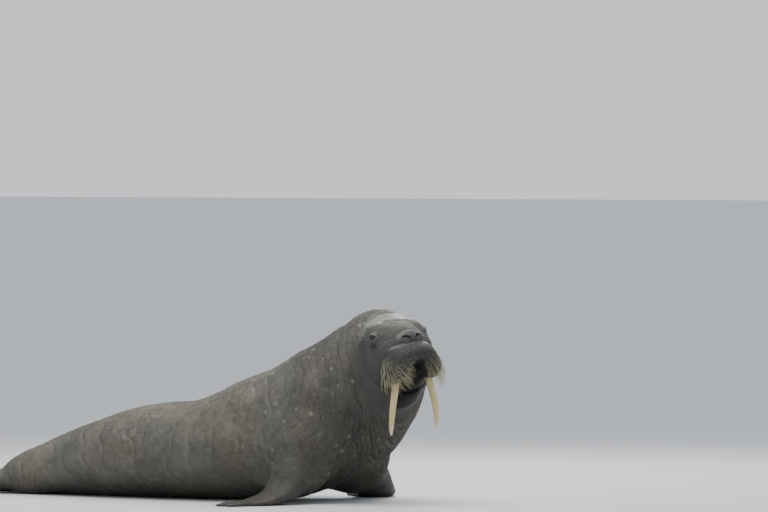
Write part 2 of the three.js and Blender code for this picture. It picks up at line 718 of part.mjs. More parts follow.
const HIDE = new THREE.MeshStandardMaterial({ color: 0x6f675c, roughness: 0.6, metalness: 0 });
const IVORY = new THREE.MeshStandardMaterial({ color: 0xd8c79a, roughness: 0.4, metalness: 0 });
const DARK = new THREE.MeshStandardMaterial({ color: 0x1a1512, roughness: 0.1, metalness: 0 });
const walrus = new THREE.Group();
for (const [name, made] of parts) {
  const material = name.startsWith("tusk") ? IVORY : name.startsWith("eye") ? DARK : HIDE;
  const mesh = new THREE.Mesh(geometryOf(largest(made)), material);
  mesh.name = name;
  walrus.add(mesh);
}

export default walrus;
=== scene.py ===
# A life-size walrus at rest on its belly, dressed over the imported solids.
# Shapes are reckoned in millimetres, in the solids' own frame, and become metres as meshes are made.
import math

import bpy
import numpy as np
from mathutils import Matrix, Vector


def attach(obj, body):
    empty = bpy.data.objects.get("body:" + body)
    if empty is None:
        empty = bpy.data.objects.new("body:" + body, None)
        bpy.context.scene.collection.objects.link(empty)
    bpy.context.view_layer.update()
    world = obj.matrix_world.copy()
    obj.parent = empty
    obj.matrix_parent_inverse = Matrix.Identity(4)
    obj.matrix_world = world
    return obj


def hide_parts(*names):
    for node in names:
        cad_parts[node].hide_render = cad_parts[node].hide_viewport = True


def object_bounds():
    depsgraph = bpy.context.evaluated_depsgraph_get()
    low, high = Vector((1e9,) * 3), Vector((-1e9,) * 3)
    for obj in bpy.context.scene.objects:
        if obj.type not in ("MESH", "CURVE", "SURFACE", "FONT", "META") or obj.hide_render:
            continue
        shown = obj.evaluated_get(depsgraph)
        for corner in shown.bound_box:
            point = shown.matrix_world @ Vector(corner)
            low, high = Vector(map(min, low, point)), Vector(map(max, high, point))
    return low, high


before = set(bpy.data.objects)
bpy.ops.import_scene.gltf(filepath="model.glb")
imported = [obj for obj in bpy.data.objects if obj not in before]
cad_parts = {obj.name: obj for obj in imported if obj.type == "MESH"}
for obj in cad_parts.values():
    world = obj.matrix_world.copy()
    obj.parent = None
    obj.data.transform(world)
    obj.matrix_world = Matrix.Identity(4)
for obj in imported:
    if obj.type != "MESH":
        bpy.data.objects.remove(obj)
CAD_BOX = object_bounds()
MM = 0.001
RANDOM_SEED = 41

# The camera stands where the photo's did: it looks at a point in the middle of the frame
LOOK_AT = np.array([930.5, -139.7, 1240.0])
CAMERA_AZIMUTH = 30.0
CAMERA_RISE = 0.917
CAMERA_FAR = 40000.0
FOCAL = 375.0
SENSOR = 36.0
CAMERA_SEES = 500.0


def add_camera():
    azimuth, rise = math.radians(CAMERA_AZIMUTH), math.radians(CAMERA_RISE)
    back = np.array(
        [math.sin(azimuth) * math.cos(rise), -math.cos(azimuth) * math.cos(rise), math.sin(rise)]
    )
    data = bpy.data.cameras.new("camera")
    data.lens = FOCAL
    data.sensor_width = SENSOR
    data.clip_end = CAMERA_SEES
    camera = bpy.data.objects.new("camera", data)
    camera.location = (LOOK_AT + back * CAMERA_FAR) * MM
    camera.rotation_euler = Vector(-back).to_track_quat("-Z", "Y").to_euler()
    bpy.context.scene.collection.objects.link(camera)
    bpy.context.scene.camera = camera


add_camera()

# The trunk's spine: centre x, y, z, half width and half height
TRUNK = [
    [-1400, 0, 86, 62, 46],
    [-1270, 0, 112, 130, 92],
    [-1080, 0, 142, 200, 142],
    [-820, 0, 184, 285, 194],
    [-500, 0, 228, 358, 240],
    [-150, 0, 250, 405, 260],
    [150, 0, 305, 420, 317],
    [400, 0, 376, 405, 336],
    [590, -8, 469, 366, 344],
    [745, -42, 582, 318, 313],
    [865, -100, 692, 268, 278],
    [942, -146, 779, 222, 226],
    [1000, -184, 822, 168, 166],
]
TRUNK_CAP = 70.0

# Masses of flesh: centre, radii, blending width, and whether the other side has one too
TRUNK_MASSES = [
    ([500, 290, 215], [200, 125, 190], 120, True),
    ([-1190, 95, 95], [150, 75, 85], 90, True),
]
HEAD_AT = np.array([1062.0, -222.0, 850.0])
HEAD_YAW, HEAD_PITCH, HEAD_ROLL = -32.0, 3.0, 7.0
HEAD_MASSES = [
    ([-75, 0, -27], [165, 140, 102], 45, False),
    ([45, 0, -50], [92, 98, 72], 70, False),
    ([102, 0, -30], [46, 66, 40], 34, False),
    ([115, 0, -27], [35, 66, 35], 10, False),
    ([-10, 108, -2], [58, 42, 42], 34, True),
    ([-32, 80, 32], [58, 48, 34], 30, True),
    ([-35, 92, -110], [120, 66, 92], 62, True),
    ([28, 98, -64], [62, 50, 44], 30, True),
    ([-62, 0, -196], [132, 118, 104], 140, False),
]
MUZZLE_MASSES = [
    ([86, 66, -128], [108, 68, 72], 1, False),
    ([86, -66, -128], [108, 68, 72], 24, False),
    ([74, 100, -172], [100, 58, 66], 34, True),
    ([100, 0, -94], [98, 92, 52], 50, False),
]
JAW_MASSES = [
    ([26, 0, -220], [104, 70, 58], 1, False),
    ([102, 0, -184], [48, 46, 24], 16, False),
]
EYE_AT, EYE_RADIUS, EYE_FACING = np.array([0.0, 138.0, 5.0]), 19.0, 62.0
EAR_PIT_AT, EAR_PIT_SIZE = np.array([-78.0, 150.0, 6.0]), (9, 5)
NOSTRIL_AT, NOSTRIL_RADIUS, NOSTRIL_TUBE = np.array([138.0, 36.0, -29.0]), 22.0, 3.4
NOSTRIL_ARC = (50.0, 205.0)
TUSK = [
    [66, 62, -120, 19, 22],
    [78, 84, -200, 18, 22],
    [73, 104, -280, 17, 21],
    [58, 122, -370, 15, 18],
    [38, 130, -450, 11, 13],
    [27, 130, -488, 5, 6],
]

# Limbs on the left side: centre x, y, z, half width and half thickness
FORE_LIMB = [
    [500, 250, 230, 120, 120],
    [530, 370, 138, 116, 94],
    [522, 452, 68, 108, 62],
    [492, 530, 34, 104, 36],
    [450, 604, 17, 102, 21],
    [408, 668, 8, 84, 11],
]
HIND_LIMB = [
    [-1290, 80, 88, 84, 60],
    [-1400, 112, 54, 76, 44],
    [-1480, 136, 32, 84, 32],
    [-1580, 160, 17, 104, 21],
    [-1680, 184, 9, 112, 12],
]
TAIL = [
    [-1370, 0, 92, 40, 30],
    [-1430, 0, 88, 34, 22],
    [-1490, 0, 78, 22, 13],
    [-1520, 0, 72, 8, 6],
]
# Digits: place across the palm, splay from the heading in degrees, length and half width
FORE_FAN = {
    "palm": [506, 496],
    "heading": 123,
    "digits": [(66, -6, 318, 29), (33, -2, 340, 26), (0, 4, 318, 25), (-32, 10, 276, 25), (-60, 17, 212, 25)],
}
HIND_FAN = {
    "palm": [-1495, 150],
    "heading": 171,
    "digits": [(58, -10, 420, 31), (29, -5, 342, 24), (0, 0, 316, 23), (-29, 5, 336, 24), (-58, 10, 404, 31)],
}
DIGIT_THICK, DIGIT_THINS, DIGIT_NARROWS, DIGIT_RAISED = 0.7, 0.6, 0.25, 0.85
# Where a digit starts to round off, by how much, and how much it swells at its joints
DIGIT_TIP, DIGIT_ROUNDS, JOINT_SWELL, JOINT_TURNS = 0.88, 0.75, 0.07, 3.2
WEB_REACH, WEB_SCALLOP, WEB_PALM, WEB_EDGE, WEB_SAG = 0.94, 0.1, 26.0, 7.0, 0.22
LIMB_CAP = 0.35
# How softly one shape runs into the next
DIGIT_SOFT, WEB_SOFT, TAIL_SOFT, LID_SOFT, PAD_SOFT = 20, 8, 20, 9, 12
# The gap between gum and tusk, how soft its edge is, and how far down the tusk it is cut
GUM_GAP, GUM_SOFT, GUM_DOWN = 1.0, 2, -230
# Only points this near have to do with the head, and only points this far back and inwards with the tail
HEAD_MIDDLE, HEAD_ROUND = [-20, 0, -60], 460
TAIL_BEHIND, TAIL_BESIDE = -1200, 140
# Each lid's edge is an arc: how far its centre is from the eye's, and its radius
LID_UPPER, LID_LOWER = (9.6, 19.6), (11.6, 20.4)
LID_RAISED = 1.2
# How thick the upper and lower lid lie on the ball, and the roll along their edge: place, height and radius
LID_THICK_UPPER, LID_THICK_LOWER = 3.4, 2.6
LID_ROLL_AT, LID_ROLL_HIGH, LID_ROLL = 1.8, 2.2, 2.5

# The skin lies inside the solids by the coat's depth, and by less on the face and flippers
COAT_DEPTH, BARE_DEPTH = 3.0, 1.0
# The skin is first cut from a grid of cells, in coarse blocks of so many cells, and then refined
GRID = 7.0
BLOCK = 4
REFININGS = 3
# How much longer than wanted an edge may be, and the flattest slope that a step towards the skin allows for
EDGE_SLACK, FLATTEST = 1.35, 0.15
TINY = 1e-6
# What counts as a long way off, where a distance isn't needed
FAR_OFF = 60


def unit(v):
    return v / np.maximum(np.linalg.norm(v, axis=-1, keepdims=True), 1e-9)


def smooth(low, high, x):
    t = np.clip((x - low) / (high - low), 0, 1)
    return t * t * (3 - 2 * t)


def blend(a, b, soft):
    share = np.maximum(soft - np.abs(a - b), 0) / soft
    return np.minimum(a, b) - share * share * soft / 4


def carve(a, b, soft):
    return -blend(-a, b, soft)


def bell(x, wide):
    """1 at nought, and falling away on both sides"""
    return np.exp(-((x / wide) ** 2))


def oval(x, wide, y, long):
    """1 at nought, and falling away all round"""
    return np.exp(-((x / wide) ** 2) - (y / long) ** 2)


def crest(turns):
    """0 at every whole number, and 1 halfway between them"""
    return np.abs(np.sin(np.pi * turns))


def rounded_distance(radii_off, reach, inmost):
    """Distance to a rounded shape, from how many of its radii a point is off and how far off that is"""
    return np.where(radii_off < TINY, -inmost, reach * (1 - 1 / np.maximum(radii_off, TINY)))


def rows_at(rows, t):
    """Rows of numbers at places along rows, on a smooth curve through them all"""
    rows = np.asarray(rows, float)
    i = np.clip(np.floor(t).astype(int), 0, len(rows) - 2)
    f = (t - i)[:, None]
    padded = np.vstack([2 * rows[0] - rows[1], rows, 2 * rows[-1] - rows[-2]])
    a, b, c, d = (padded[i + k] for k in range(4))
    return b + 0.5 * f * (c - a + f * (2 * a - 5 * b + 4 * c - d + f * (3 * (b - c) + d - a)))


class Spine:
    """Ellipses along a curve, each lying across the curve"""

    # Every so many rings are tried first
    STRIDE = 6

    def __init__(self, rows, steps, cap=None):
        self.place = np.linspace(0, len(rows) - 1, steps + 1)
        samples = rows_at(rows, self.place)
        self.centre = samples[:, :3]
        ahead = np.vstack([self.centre[1:], self.centre[-1:]])
        behind = np.vstack([self.centre[:1], self.centre[:-1]])
        self.axis = unit(ahead - behind)
        self.side = unit(np.cross([0.0, 0.0, 1.0], self.axis))
        self.up = np.cross(self.axis, self.side)
        self.half = samples[:, 3:5]
        self.cap = np.full(steps + 1, cap) if cap else LIMB_CAP * self.half.min(axis=1)
        steps_long = np.linalg.norm(np.diff(self.centre, axis=0), axis=1)
        self.run = np.concatenate([[0], np.cumsum(steps_long)])

    def nearest(self, points):
        last = len(self.centre) - 1
        coarse = self.centre[:: self.STRIDE]
        far = (points**2).sum(1)[:, None] - 2 * points @ coarse.T + (coarse**2).sum(1)
        first = far.argmin(1) * self.STRIDE
        best = first
        least = np.full(len(points), np.inf)
        for shift in range(-self.STRIDE, self.STRIDE + 1):
            ring = np.clip(first + shift, 0, last)
            d = ((points - self.centre[ring]) ** 2).sum(1)
            best = np.where(d < least, ring, best)
            least = np.minimum(d, least)
        return best

    def locate(self, points):
        """For each point: its ring, the next ring, the share between them, and what lies past the end"""
        last = len(self.centre) - 1
        ring = self.nearest(points)
        slide = ((points - self.centre[ring]) * self.axis[ring]).sum(1)
        other = np.clip(ring + np.sign(slide).astype(int), 0, last)
        span = np.linalg.norm(self.centre[other] - self.centre[ring], axis=1)
        at_end = span < TINY
        f = np.where(at_end, 0, np.minimum(np.abs(slide) / np.where(at_end, 1, span), 0.5))
        return ring, other, f, np.where(at_end, slide, 0)

    def mixed(self, values, ring, other, f):
        if values.ndim == 1:
            return values[ring] * (1 - f) + values[other] * f
        return values[ring] * (1 - f)[:, None] + values[other] * f[:, None]

    def distance(self, points):
        ring, other, f, past = self.locate(points)
        off = points - self.mixed(self.centre, ring, other, f)
        side = (off * unit(self.mixed(self.side, ring, other, f))).sum(1)
        up = (off * unit(self.mixed(self.up, ring, other, f))).sum(1)
        half = self.mixed(self.half, ring, other, f)
        q = np.sqrt((side / half[:, 0]) ** 2 + (up / half[:, 1]) ** 2 + (past / self.cap[ring]) ** 2)
        reach = np.sqrt(side**2 + up**2 + past**2)
        return rounded_distance(q, reach, half[:, 1])


def rotation(yaw, pitch, roll):
    z, y, x = np.radians([yaw, -pitch, roll])
    turn_z = np.array([[np.cos(z), -np.sin(z), 0], [np.sin(z), np.cos(z), 0], [0, 0, 1]])
    turn_y = np.array([[np.cos(y), 0, np.sin(y)], [0, 1, 0], [-np.sin(y), 0, np.cos(y)]])
    turn_x = np.array([[1, 0, 0], [0, np.cos(x), -np.sin(x)], [0, np.sin(x), np.cos(x)]])
    return turn_z @ turn_y @ turn_x


HEAD_TURN = rotation(HEAD_YAW, HEAD_PITCH, HEAD_ROLL)


def to_head(points):
    return (points - HEAD_AT) @ HEAD_TURN


def from_head(points):
    return points @ HEAD_TURN.T + HEAD_AT


def turn_from_head(ways):
    return ways @ HEAD_TURN.T


def folded(points):
    """The same points on the left side"""
    return np.column_stack([points[:, 0], np.abs(points[:, 1]), points[:, 2]])


def ellipsoid(points, centre, size):
    off = points - np.asarray(centre, float)
    reach = np.linalg.norm(off, axis=1)
    q = np.linalg.norm(off / np.asarray(size, float), axis=1)
    return rounded_distance(q, reach, min(size))


def blend_masses(distance, points, masses):
    left = folded(points)
    for centre, size, soft, pair in masses:
        own = ellipsoid(left if pair else points, centre, size)
        distance = own if distance is None else blend(distance, own, soft)
    return distance


def fan_digits(fan):
    """Start, end and half width of each digit on the floor"""
    digits = []
    for across, splay, length, wide in fan["digits"]:
        beside, ahead = np.radians(fan["heading"] - 90), np.radians(fan["heading"] + splay)
        start = np.array(fan["palm"], float) + across * np.array([np.cos(beside), np.sin(beside)])
        digits.append((start, start + length * np.array([np.cos(ahead), np.sin(ahead)]), wide))
    return digits


def digit_frame(points, digit):
    """Share of the way along a digit, distance past its ends, and distance beside it"""
    start, end, _ = digit
    length = np.linalg.norm(end - start)
    way = (end - start) / length
    off = points[:, :2] - start
    along = off @ way
    t = np.clip(along / length, 0, 1)
    return t, along - t * length, off @ np.array([-way[1], way[0]]), length


def digit_distance(points, digit):
    t, past, beside, _ = digit_frame(points, digit)
    round_tip = np.sqrt(1 - DIGIT_ROUNDS * np.clip((t - DIGIT_TIP) / (1 - DIGIT_TIP), 0, 1) ** 2)
    joints = 1 + JOINT_SWELL * np.cos(t * JOINT_TURNS * np.pi)
    high = digit[2] * DIGIT_THICK * (1 - DIGIT_THINS * t) * round_tip * joints
    wide = digit[2] * (1 - DIGIT_NARROWS * t) * round_tip
    up = points[:, 2] - high * DIGIT_RAISED
    cap = LIMB_CAP * np.minimum(wide, high) + 2
    q = np.sqrt((beside / wide) ** 2 + (up / high) ** 2 + (past / cap) ** 2)
    reach = np.sqrt(beside**2 + up**2 + past**2)
    return rounded_distance(q, reach, high)


def web_distance(points, one, following):
    t_one, past_one, beside_one, long_one = digit_frame(points, one)
    t_next, past_next, beside_next, long_next = digit_frame(points, following)
    t_one = t_one + past_one / long_one
    t_next = t_next + past_next / long_next
    v = np.clip(beside_one / np.maximum(beside_one - beside_next, 1e-3), 0, 1)
    u = t_one * (1 - v) + t_next * v
    length = long_one * (1 - v) + long_next * v
    reach = WEB_REACH - WEB_SCALLOP * 4 * v * (1 - v)
    height = WEB_PALM + (WEB_EDGE - WEB_PALM) * np.clip(u / reach, 0, 1)
    # The skin sags a little between the digits
    height = height - WEB_SAG * height * 4 * v * (1 - v)
    sides = [-beside_one, beside_next, (u - reach) * length, points[:, 2] - height, -u * length]
    return np.max(sides, axis=0)


class Flipper:
    # How far round a flipper its shape is reckoned, and how high
    ROUND, TOP = 190, 480

    def __init__(self, rows, fan, root_soft):
        self.limb = Spine(rows, 60)
        self.digits = fan_digits(fan)
        self.root_soft = root_soft
        reach = np.array([end for _, end, _ in self.digits] + [row[:2] for row in rows], float)
        self.low = reach.min(0) - self.ROUND
        self.high = reach.max(0) + self.ROUND

    def near(self, left):
        flat = left[:, :2]
        return np.all((flat > self.low) & (flat < self.high), axis=1) & (left[:, 2] < self.TOP)

    def distance(self, left):
        d = self.limb.distance(left)
        for digit in self.digits:
            d = blend(d, digit_distance(left, digit), DIGIT_SOFT)
        for one, following in zip(self.digits, self.digits[1:]):
            d = blend(d, web_distance(left, one, following), WEB_SOFT)
        return d


trunk = Spine(TRUNK, steps=480, cap=TRUNK_CAP)
tail = Spine(TAIL, steps=30)
fore = Flipper(FORE_LIMB, FORE_FAN, root_soft=44)
hind = Flipper(HIND_LIMB, HIND_FAN, root_soft=34)
tusk_spine = Spine(TUSK, steps=40)

EYE_OUT = np.array([math.cos(math.radians(EYE_FACING)), math.sin(math.radians(EYE_FACING)), 0.0])
EYE_SIDE = np.array([-EYE_OUT[1], EYE_OUT[0], 0.0])
HEAD_UP = np.array([0.0, 0.0, 1.0])


def eye_frame(head_left):
    """Points round the eye: sideways, up and out along the way that the eye faces"""
    off = head_left - EYE_AT
    return off @ EYE_SIDE, off[:, 2], off @ EYE_OUT


def almond(s, u):
    """Distance in the lids' plane to the opening between them"""
    upper = np.hypot(s, u - LID_RAISED + LID_UPPER[0]) - LID_UPPER[1]
    lower = np.hypot(s, u - LID_RAISED - LID_LOWER[0]) - LID_LOWER[1]
    return np.maximum(upper, lower)


def lid_distance(head_left):
    """Distance to the lids, which lie over the eyeball and thicken towards their edges"""
    s, u, w = eye_frame(head_left)
    away = np.sqrt(s**2 + u**2 + w**2) - EYE_RADIUS
    hood = away - np.where(u > 0, LID_THICK_UPPER, LID_THICK_LOWER)
    roll = np.hypot(almond(s, u) - LID_ROLL_AT, away - LID_ROLL_HIGH) - LID_ROLL
    return blend(hood, np.where(w > 0, roll, FAR_OFF), 3)


def nostril_distance(head_left):
    """Distance in the front view to the middle of the bent slit, less its half width"""
    y, z = head_left[:, 1] - NOSTRIL_AT[1], head_left[:, 2] - NOSTRIL_AT[2]
    angle = np.arctan2(z, y)
    angle = np.where(angle < -math.pi / 3, angle + 2 * math.pi, angle)
    low, high = np.radians(NOSTRIL_ARC)
    nearest = np.clip(angle, low, high)
    # Widest at the top of the bend, and a thin crease at the outer end
    share = (nearest - low) / (high - low)
    wide = NOSTRIL_TUBE * (0.3 + 0.95 * smooth(0, 0.25, share) * smooth(0.85, 0.4, share))
    off = np.hypot(y - NOSTRIL_RADIUS * np.cos(nearest), z - NOSTRIL_RADIUS * np.sin(nearest))
    return np.where(np.abs(head_left[:, 0] - NOSTRIL_AT[0]) < 45, off - wide, FAR_OFF)


def ear_distance(head_left):
    """Distance in the side view to the edge of the small ear opening"""
    x, z = head_left[:, 0] - EAR_PIT_AT[0], head_left[:, 2] - EAR_PIT_AT[2]
    ring = np.hypot(x / EAR_PIT_SIZE[0], z / EAR_PIT_SIZE[1])
    return np.where(head_left[:, 1] > 90, (ring - 1) * EAR_PIT_SIZE[1], FAR_OFF)


def pads(head):
    return blend_masses(None, head, MUZZLE_MASSES)


def jaw_distance(head):
    return blend_masses(None, head, JAW_MASSES) + BARE_DEPTH


def face(distance, head):
    """Adds what the head has of its own to a distance"""
    left = folded(head)
    distance = blend_masses(distance, head, HEAD_MASSES)
    distance = distance + COAT_DEPTH + (BARE_DEPTH - COAT_DEPTH) * smooth(-60, 20, head[:, 0])
    distance = blend(distance, lid_distance(left), LID_SOFT)
    distance = blend(distance, pads(head) + BARE_DEPTH, PAD_SOFT)
    distance = blend(distance, jaw_distance(head), PAD_SOFT)
    # The tusks come out of sockets with a rim of gum. Points further down count as far below the tusk
    gum = tusk_spine.distance(np.where(left[:, 2:] > GUM_DOWN, left, [66.0, 62.0, -700.0]))
    return carve(distance, gum + GUM_GAP, GUM_SOFT)


def flesh(points):
    """Distance to the skin before its folds, negative inside"""
    distance = blend_masses(trunk.distance(points), points, TRUNK_MASSES)
    head = to_head(points)
    near = np.linalg.norm(head - HEAD_MIDDLE, axis=1) < HEAD_ROUND
    result = distance + COAT_DEPTH
    if near.any():
        result[near] = face(distance[near], head[near])
    left = folded(points)
    for flipper in (fore, hind):
        close = flipper.near(left)
        if close.any():
            own = flipper.distance(left[close]) + BARE_DEPTH
            result[close] = blend(result[close], own, flipper.root_soft)
    close = (points[:, 0] < TAIL_BEHIND) & (left[:, 1] < TAIL_BESIDE)
    if close.any():
        result[close] = blend(result[close], tail.distance(points[close]) + BARE_DEPTH, TAIL_SOFT)
    return np.maximum(result, -points[:, 2])


def chunked(work, points, size=120000):
    return np.concatenate([work(points[i : i + size]) for i in range(0, len(points), size)])


# The four corners of a tetrahedron, which give a slope from four distances
CORNERS = np.array([[1, 1, 1], [1, -1, -1], [-1, 1, -1], [-1, -1, 1]]) * 0.5


def sloped(points):
    """Distances and their gradients"""
    values = np.stack([chunked(flesh, points + corner) for corner in CORNERS])
    slopes = np.einsum("kn,kj->nj", values, CORNERS) / (CORNERS[:, 0] ** 2).sum()
    return values.mean(0), slopes


def settle(points, rounds, most=5.0):
    """Moves points onto the skin"""
    for _ in range(rounds):
        d, g = sloped(points)
        step = d[:, None] * g / np.maximum((g**2).sum(1), FLATTEST)[:, None]
        length = np.linalg.norm(step, axis=1, keepdims=True)
        points = points - step * np.minimum(1, most / np.maximum(length, 1e-9))
        points[:, 2] = np.maximum(points[:, 2], 0)
    return points


def sampled_grid():
    """The distance on a fine grid near the skin, and its sign elsewhere"""
    low = np.array(CAD_BOX[0]) / MM - 2 * GRID
    low[2] = -1.5 * GRID
    high = np.array(CAD_BOX[1]) / MM + 2 * GRID
    blocks = np.ceil((high - low) / (GRID * BLOCK)).astype(int)
    middles = (np.indices(blocks).reshape(3, -1).T + 0.5) * GRID * BLOCK + low
    coarse = chunked(flesh, middles).reshape(blocks)
    values = np.repeat(np.repeat(np.repeat(coarse, BLOCK, 0), BLOCK, 1), BLOCK, 2)
    values = np.pad(values, ((0, 1),) * 3, mode="edge").astype(np.float32)
    close = np.abs(coarse) < GRID * BLOCK * 1.5
    wanted = np.zeros(values.shape, bool)
    for shift in np.ndindex(2, 2, 2):
        part = np.repeat(np.repeat(np.repeat(close, BLOCK, 0), BLOCK, 1), BLOCK, 2)
        wanted[tuple(slice(s, s + n) for s, n in zip(shift, part.shape))] |= part
    nodes = np.argwhere(wanted)
    values[wanted] = chunked(flesh, nodes * GRID + low)
    return values, low


def surface_net(values, low):
    """One point in each cell that the skin crosses, and four-sided faces between them"""
    inside = values < 0
    corners = [
        tuple(slice(s, s + n - 1) for s, n in zip(shift, values.shape)) for shift in np.ndindex(2, 2, 2)
    ]
    count = sum(inside[c].astype(np.uint8) for c in corners)
    cells = np.argwhere((count > 0) & (count < 8))
    number = np.full(count.shape, -1, np.int32)
    number[tuple(cells.T)] = np.arange(len(cells))
    total = np.zeros((len(cells), 3))
    hits = np.zeros(len(cells))
    for axis in range(3):
        for base in np.ndindex(2, 2, 2):
            if base[axis]:
                continue
            a = values[tuple((cells + base).T)].astype(float)
            b = values[tuple((cells + base + np.eye(3, dtype=int)[axis]).T)].astype(float)
            cross = (a < 0) != (b < 0)
            t = np.where(cross, a / np.where(cross, a - b, 1), 0)
            spot = np.tile(np.array(base, float), (len(cells), 1))
            spot[:, axis] += t
            total += spot * cross[:, None]
            hits += cross
    points = (cells + total / hits[:, None]) * GRID + low
    faces = []
    for axis in range(3):
        one, two = (axis + 1) % 3, (axis + 2) % 3
        first = [slice(None)] * 3
        second = [slice(None)] * 3
        first[axis], second[axis] = slice(0, -1), slice(1, None)
        a, b = inside[tuple(first)], inside[tuple(second)]
        edges = np.argwhere(a != b)
        good = (edges[:, one] > 0) & (edges[:, two] > 0)
        good &= (edges[:, one] < values.shape[one] - 1) & (edges[:, two] < values.shape[two] - 1)
        edges = edges[good]
        round_edge = []
        for shift_one, shift_two in ((-1, -1), (0, -1), (0, 0), (-1, 0)):
            cell = edges.copy()
            cell[:, one] += shift_one
            cell[:, two] += shift_two
            round_edge.append(number[tuple(cell.T)])
        quads = np.column_stack(round_edge)
        outward = a[tuple(edges.T)]
        quads[~outward] = quads[~outward][:, ::-1]
        faces.append(quads)
    return points, np.vstack(faces)


def triangles(points, quads):
    """Each four-sided face cut along its shorter diagonal"""
    a, b, c, d = (points[quads[:, k]] for k in range(4))
    short = ((a - c) ** 2).sum(1) < ((b - d) ** 2).sum(1)
    one = np.where(short[:, None], quads[:, [0, 1, 2]], quads[:, [0, 1, 3]])
    two = np.where(short[:, None], quads[:, [0, 2, 3]], quads[:, [1, 2, 3]])
    return np.vstack([one, two])


def largest_piece(points, faces):
    """Only the surface that the most faces share"""
    label = np.arange(len(points))
    while True:
        least = label[faces].min(1)
        before = label.copy()
        for k in range(3):
            np.minimum.at(label, faces[:, k], least)
        label = label[label]
        if (label == before).all():
            break
    names, counts = np.unique(label[faces[:, 0]], return_counts=True)
    kept = faces[label[faces[:, 0]] == names[counts.argmax()]]
    used = np.unique(kept)
    number = np.full(len(points), -1)
    number[used] = np.arange(len(used))
    return points[used], number[kept]


def refine(points, faces, wanted):
    """Halves every edge that is too long for its place, with no cracks"""
    edges = np.sort(faces[:, [[0, 1], [1, 2], [2, 0]]].reshape(-1, 2), axis=1)
    unique, back = np.unique(edges, axis=0, return_inverse=True)
    ends = points[unique]
    middle = ends.mean(1)
    long = np.linalg.norm(ends[:, 0] - ends[:, 1], axis=1) > wanted(middle) * EDGE_SLACK
    number = np.full(len(unique), -1)
    number[long] = len(points) + np.arange(long.sum())
    made = number[back.reshape(-1)].reshape(-1, 3)
    cut = made >= 0
    out = [faces[cut.sum(1) == 0]]
    # A face's three corners, and then the middles of its three edges
    six = np.hstack([faces, made])
    for a, b, c in ((0, 1, 2), (1, 2, 0), (2, 0, 1)):
        one = six[cut[:, a] & ~cut[:, b] & ~cut[:, c]]
        two = six[cut[:, a] & cut[:, b] & ~cut[:, c]]
        out += [one[:, [a, a + 3, c]], one[:, [a + 3, b, c]]]
        out += [two[:, [a + 3, b, b + 3]], two[:, [a, a + 3, b + 3]], two[:, [a, b + 3, c]]]
    every = six[cut.all(1)]
    out += [every[:, [0, 3, 5]], every[:, [3, 1, 4]], every[:, [5, 4, 2]], every[:, 3:]]
    fresh = settle(middle[long], 2, most=2.0)
    return np.vstack([points, fresh]), np.vstack(out)


def relax(points, faces, strength=0.5):
    """Evens out the mesh, each point towards the middle of its neighbours"""
    total = np.zeros_like(points)
    count = np.zeros(len(points))
    for a, b in ((0, 1), (1, 2), (2, 0)):
        for one, two in ((a, b), (b, a)):
            np.add.at(total, faces[:, one], points[faces[:, two]])
            np.add.at(count, faces[:, one], 1)
    return points + (total / count[:, None] - points) * strength


# Fine places on the left side of the head: where, how far round, and how long an edge may be there
FINE_PLACES = [(EYE_AT, 90, 2.8), (EYE_AT, 34, 1.2), (NOSTRIL_AT, 30, 1.5), (EAR_PIT_AT, 40, 2.4)]
EDGE_BODY, EDGE_HEAD, EDGE_FACE, EDGE_PAD = 12.0, 6.0, 3.8, 2.9


def wanted_size(points):
    """How long an edge may be: fine on the face, and finest round the eyes, nose and mouth"""
    head = to_head(points)
    left = folded(head)
    size = np.full(len(points), EDGE_BODY)
    size = np.where(np.linalg.norm(head + [10, 0, 60], axis=1) < 330, EDGE_HEAD, size)
    on_face = (head[:, 0] > -70) & (np.linalg.norm(head - [30, 0, -90], axis=1) < 260)
    size = np.where(on_face, EDGE_FACE, size)
    pad = (head[:, 0] > 40) & (head[:, 2] < 30) & (head[:, 2] > -250)
    size = np.where(on_face & pad, EDGE_PAD, size)
    for place, reach, edge in FINE_PLACES:
        size = np.where(np.linalg.norm(left - place, axis=1) < reach, edge, size)
    return size


def mixed_bits(i, j, k, seed):
    h = (i * 0x8DA6B343 + j * 0xD8163841 + k * 0xCB1AB31F + seed * 0x9E3779B1) & 0xFFFFFFFF
    h = (h ^ (h >> 15)) * 0x2C1B3C6D & 0xFFFFFFFF
    h = (h ^ (h >> 12)) * 0x297A2D39 & 0xFFFFFFFF
    return (h ^ (h >> 15)) / 4294967296.0


def noise(points, scale, seed=0):
    """Smooth noise from -1 to 1, over places in millimetres"""
    p = points / scale
    cell = np.floor(p).astype(np.int64)
    f = p - cell
    f = f * f * f * (f * (f * 6 - 15) + 10)
    total = 0
    for i, j, k in np.ndindex(2, 2, 2):
        value = mixed_bits(cell[:, 0] + i, cell[:, 1] + j, cell[:, 2] + k, seed)
        weight = np.abs(1 - i - f[:, 0]) * np.abs(1 - j - f[:, 1]) * np.abs(1 - k - f[:, 2])
        total = total + value * weight
    return total * 2 - 1


def spots(points, scale, seed=0):
    """Distances in millimetres to the two nearest of many scattered places, and the nearest one's number"""
    p = points / scale
    cell = np.floor(p).astype(np.int64)
    least = np.full(len(points), np.inf)
    next_least = np.full(len(points), np.inf)
    own = np.zeros(len(points))
    for shift in np.ndindex(3, 3, 3):
        at = cell + np.array(shift) - 1
        spot = np.column_stack([mixed_bits(*at.T, seed + k) for k in range(3)])
        d = np.linalg.norm(at + spot - p, axis=1)
        own = np.where(d < least, spot[:, 0], own)
        next_least = np.minimum(next_least, np.maximum(d, least))
        least = np.minimum(d, least)
    return least * scale, next_least * scale, own


def mouth_half(height):
    """Half the width of the mouth at a height"""
    steps = ((32, -100, -150), (24, -155, -212), (14, -205, -260))
    return sum(wider * smooth(top, bottom, height) for wider, top, bottom in steps)


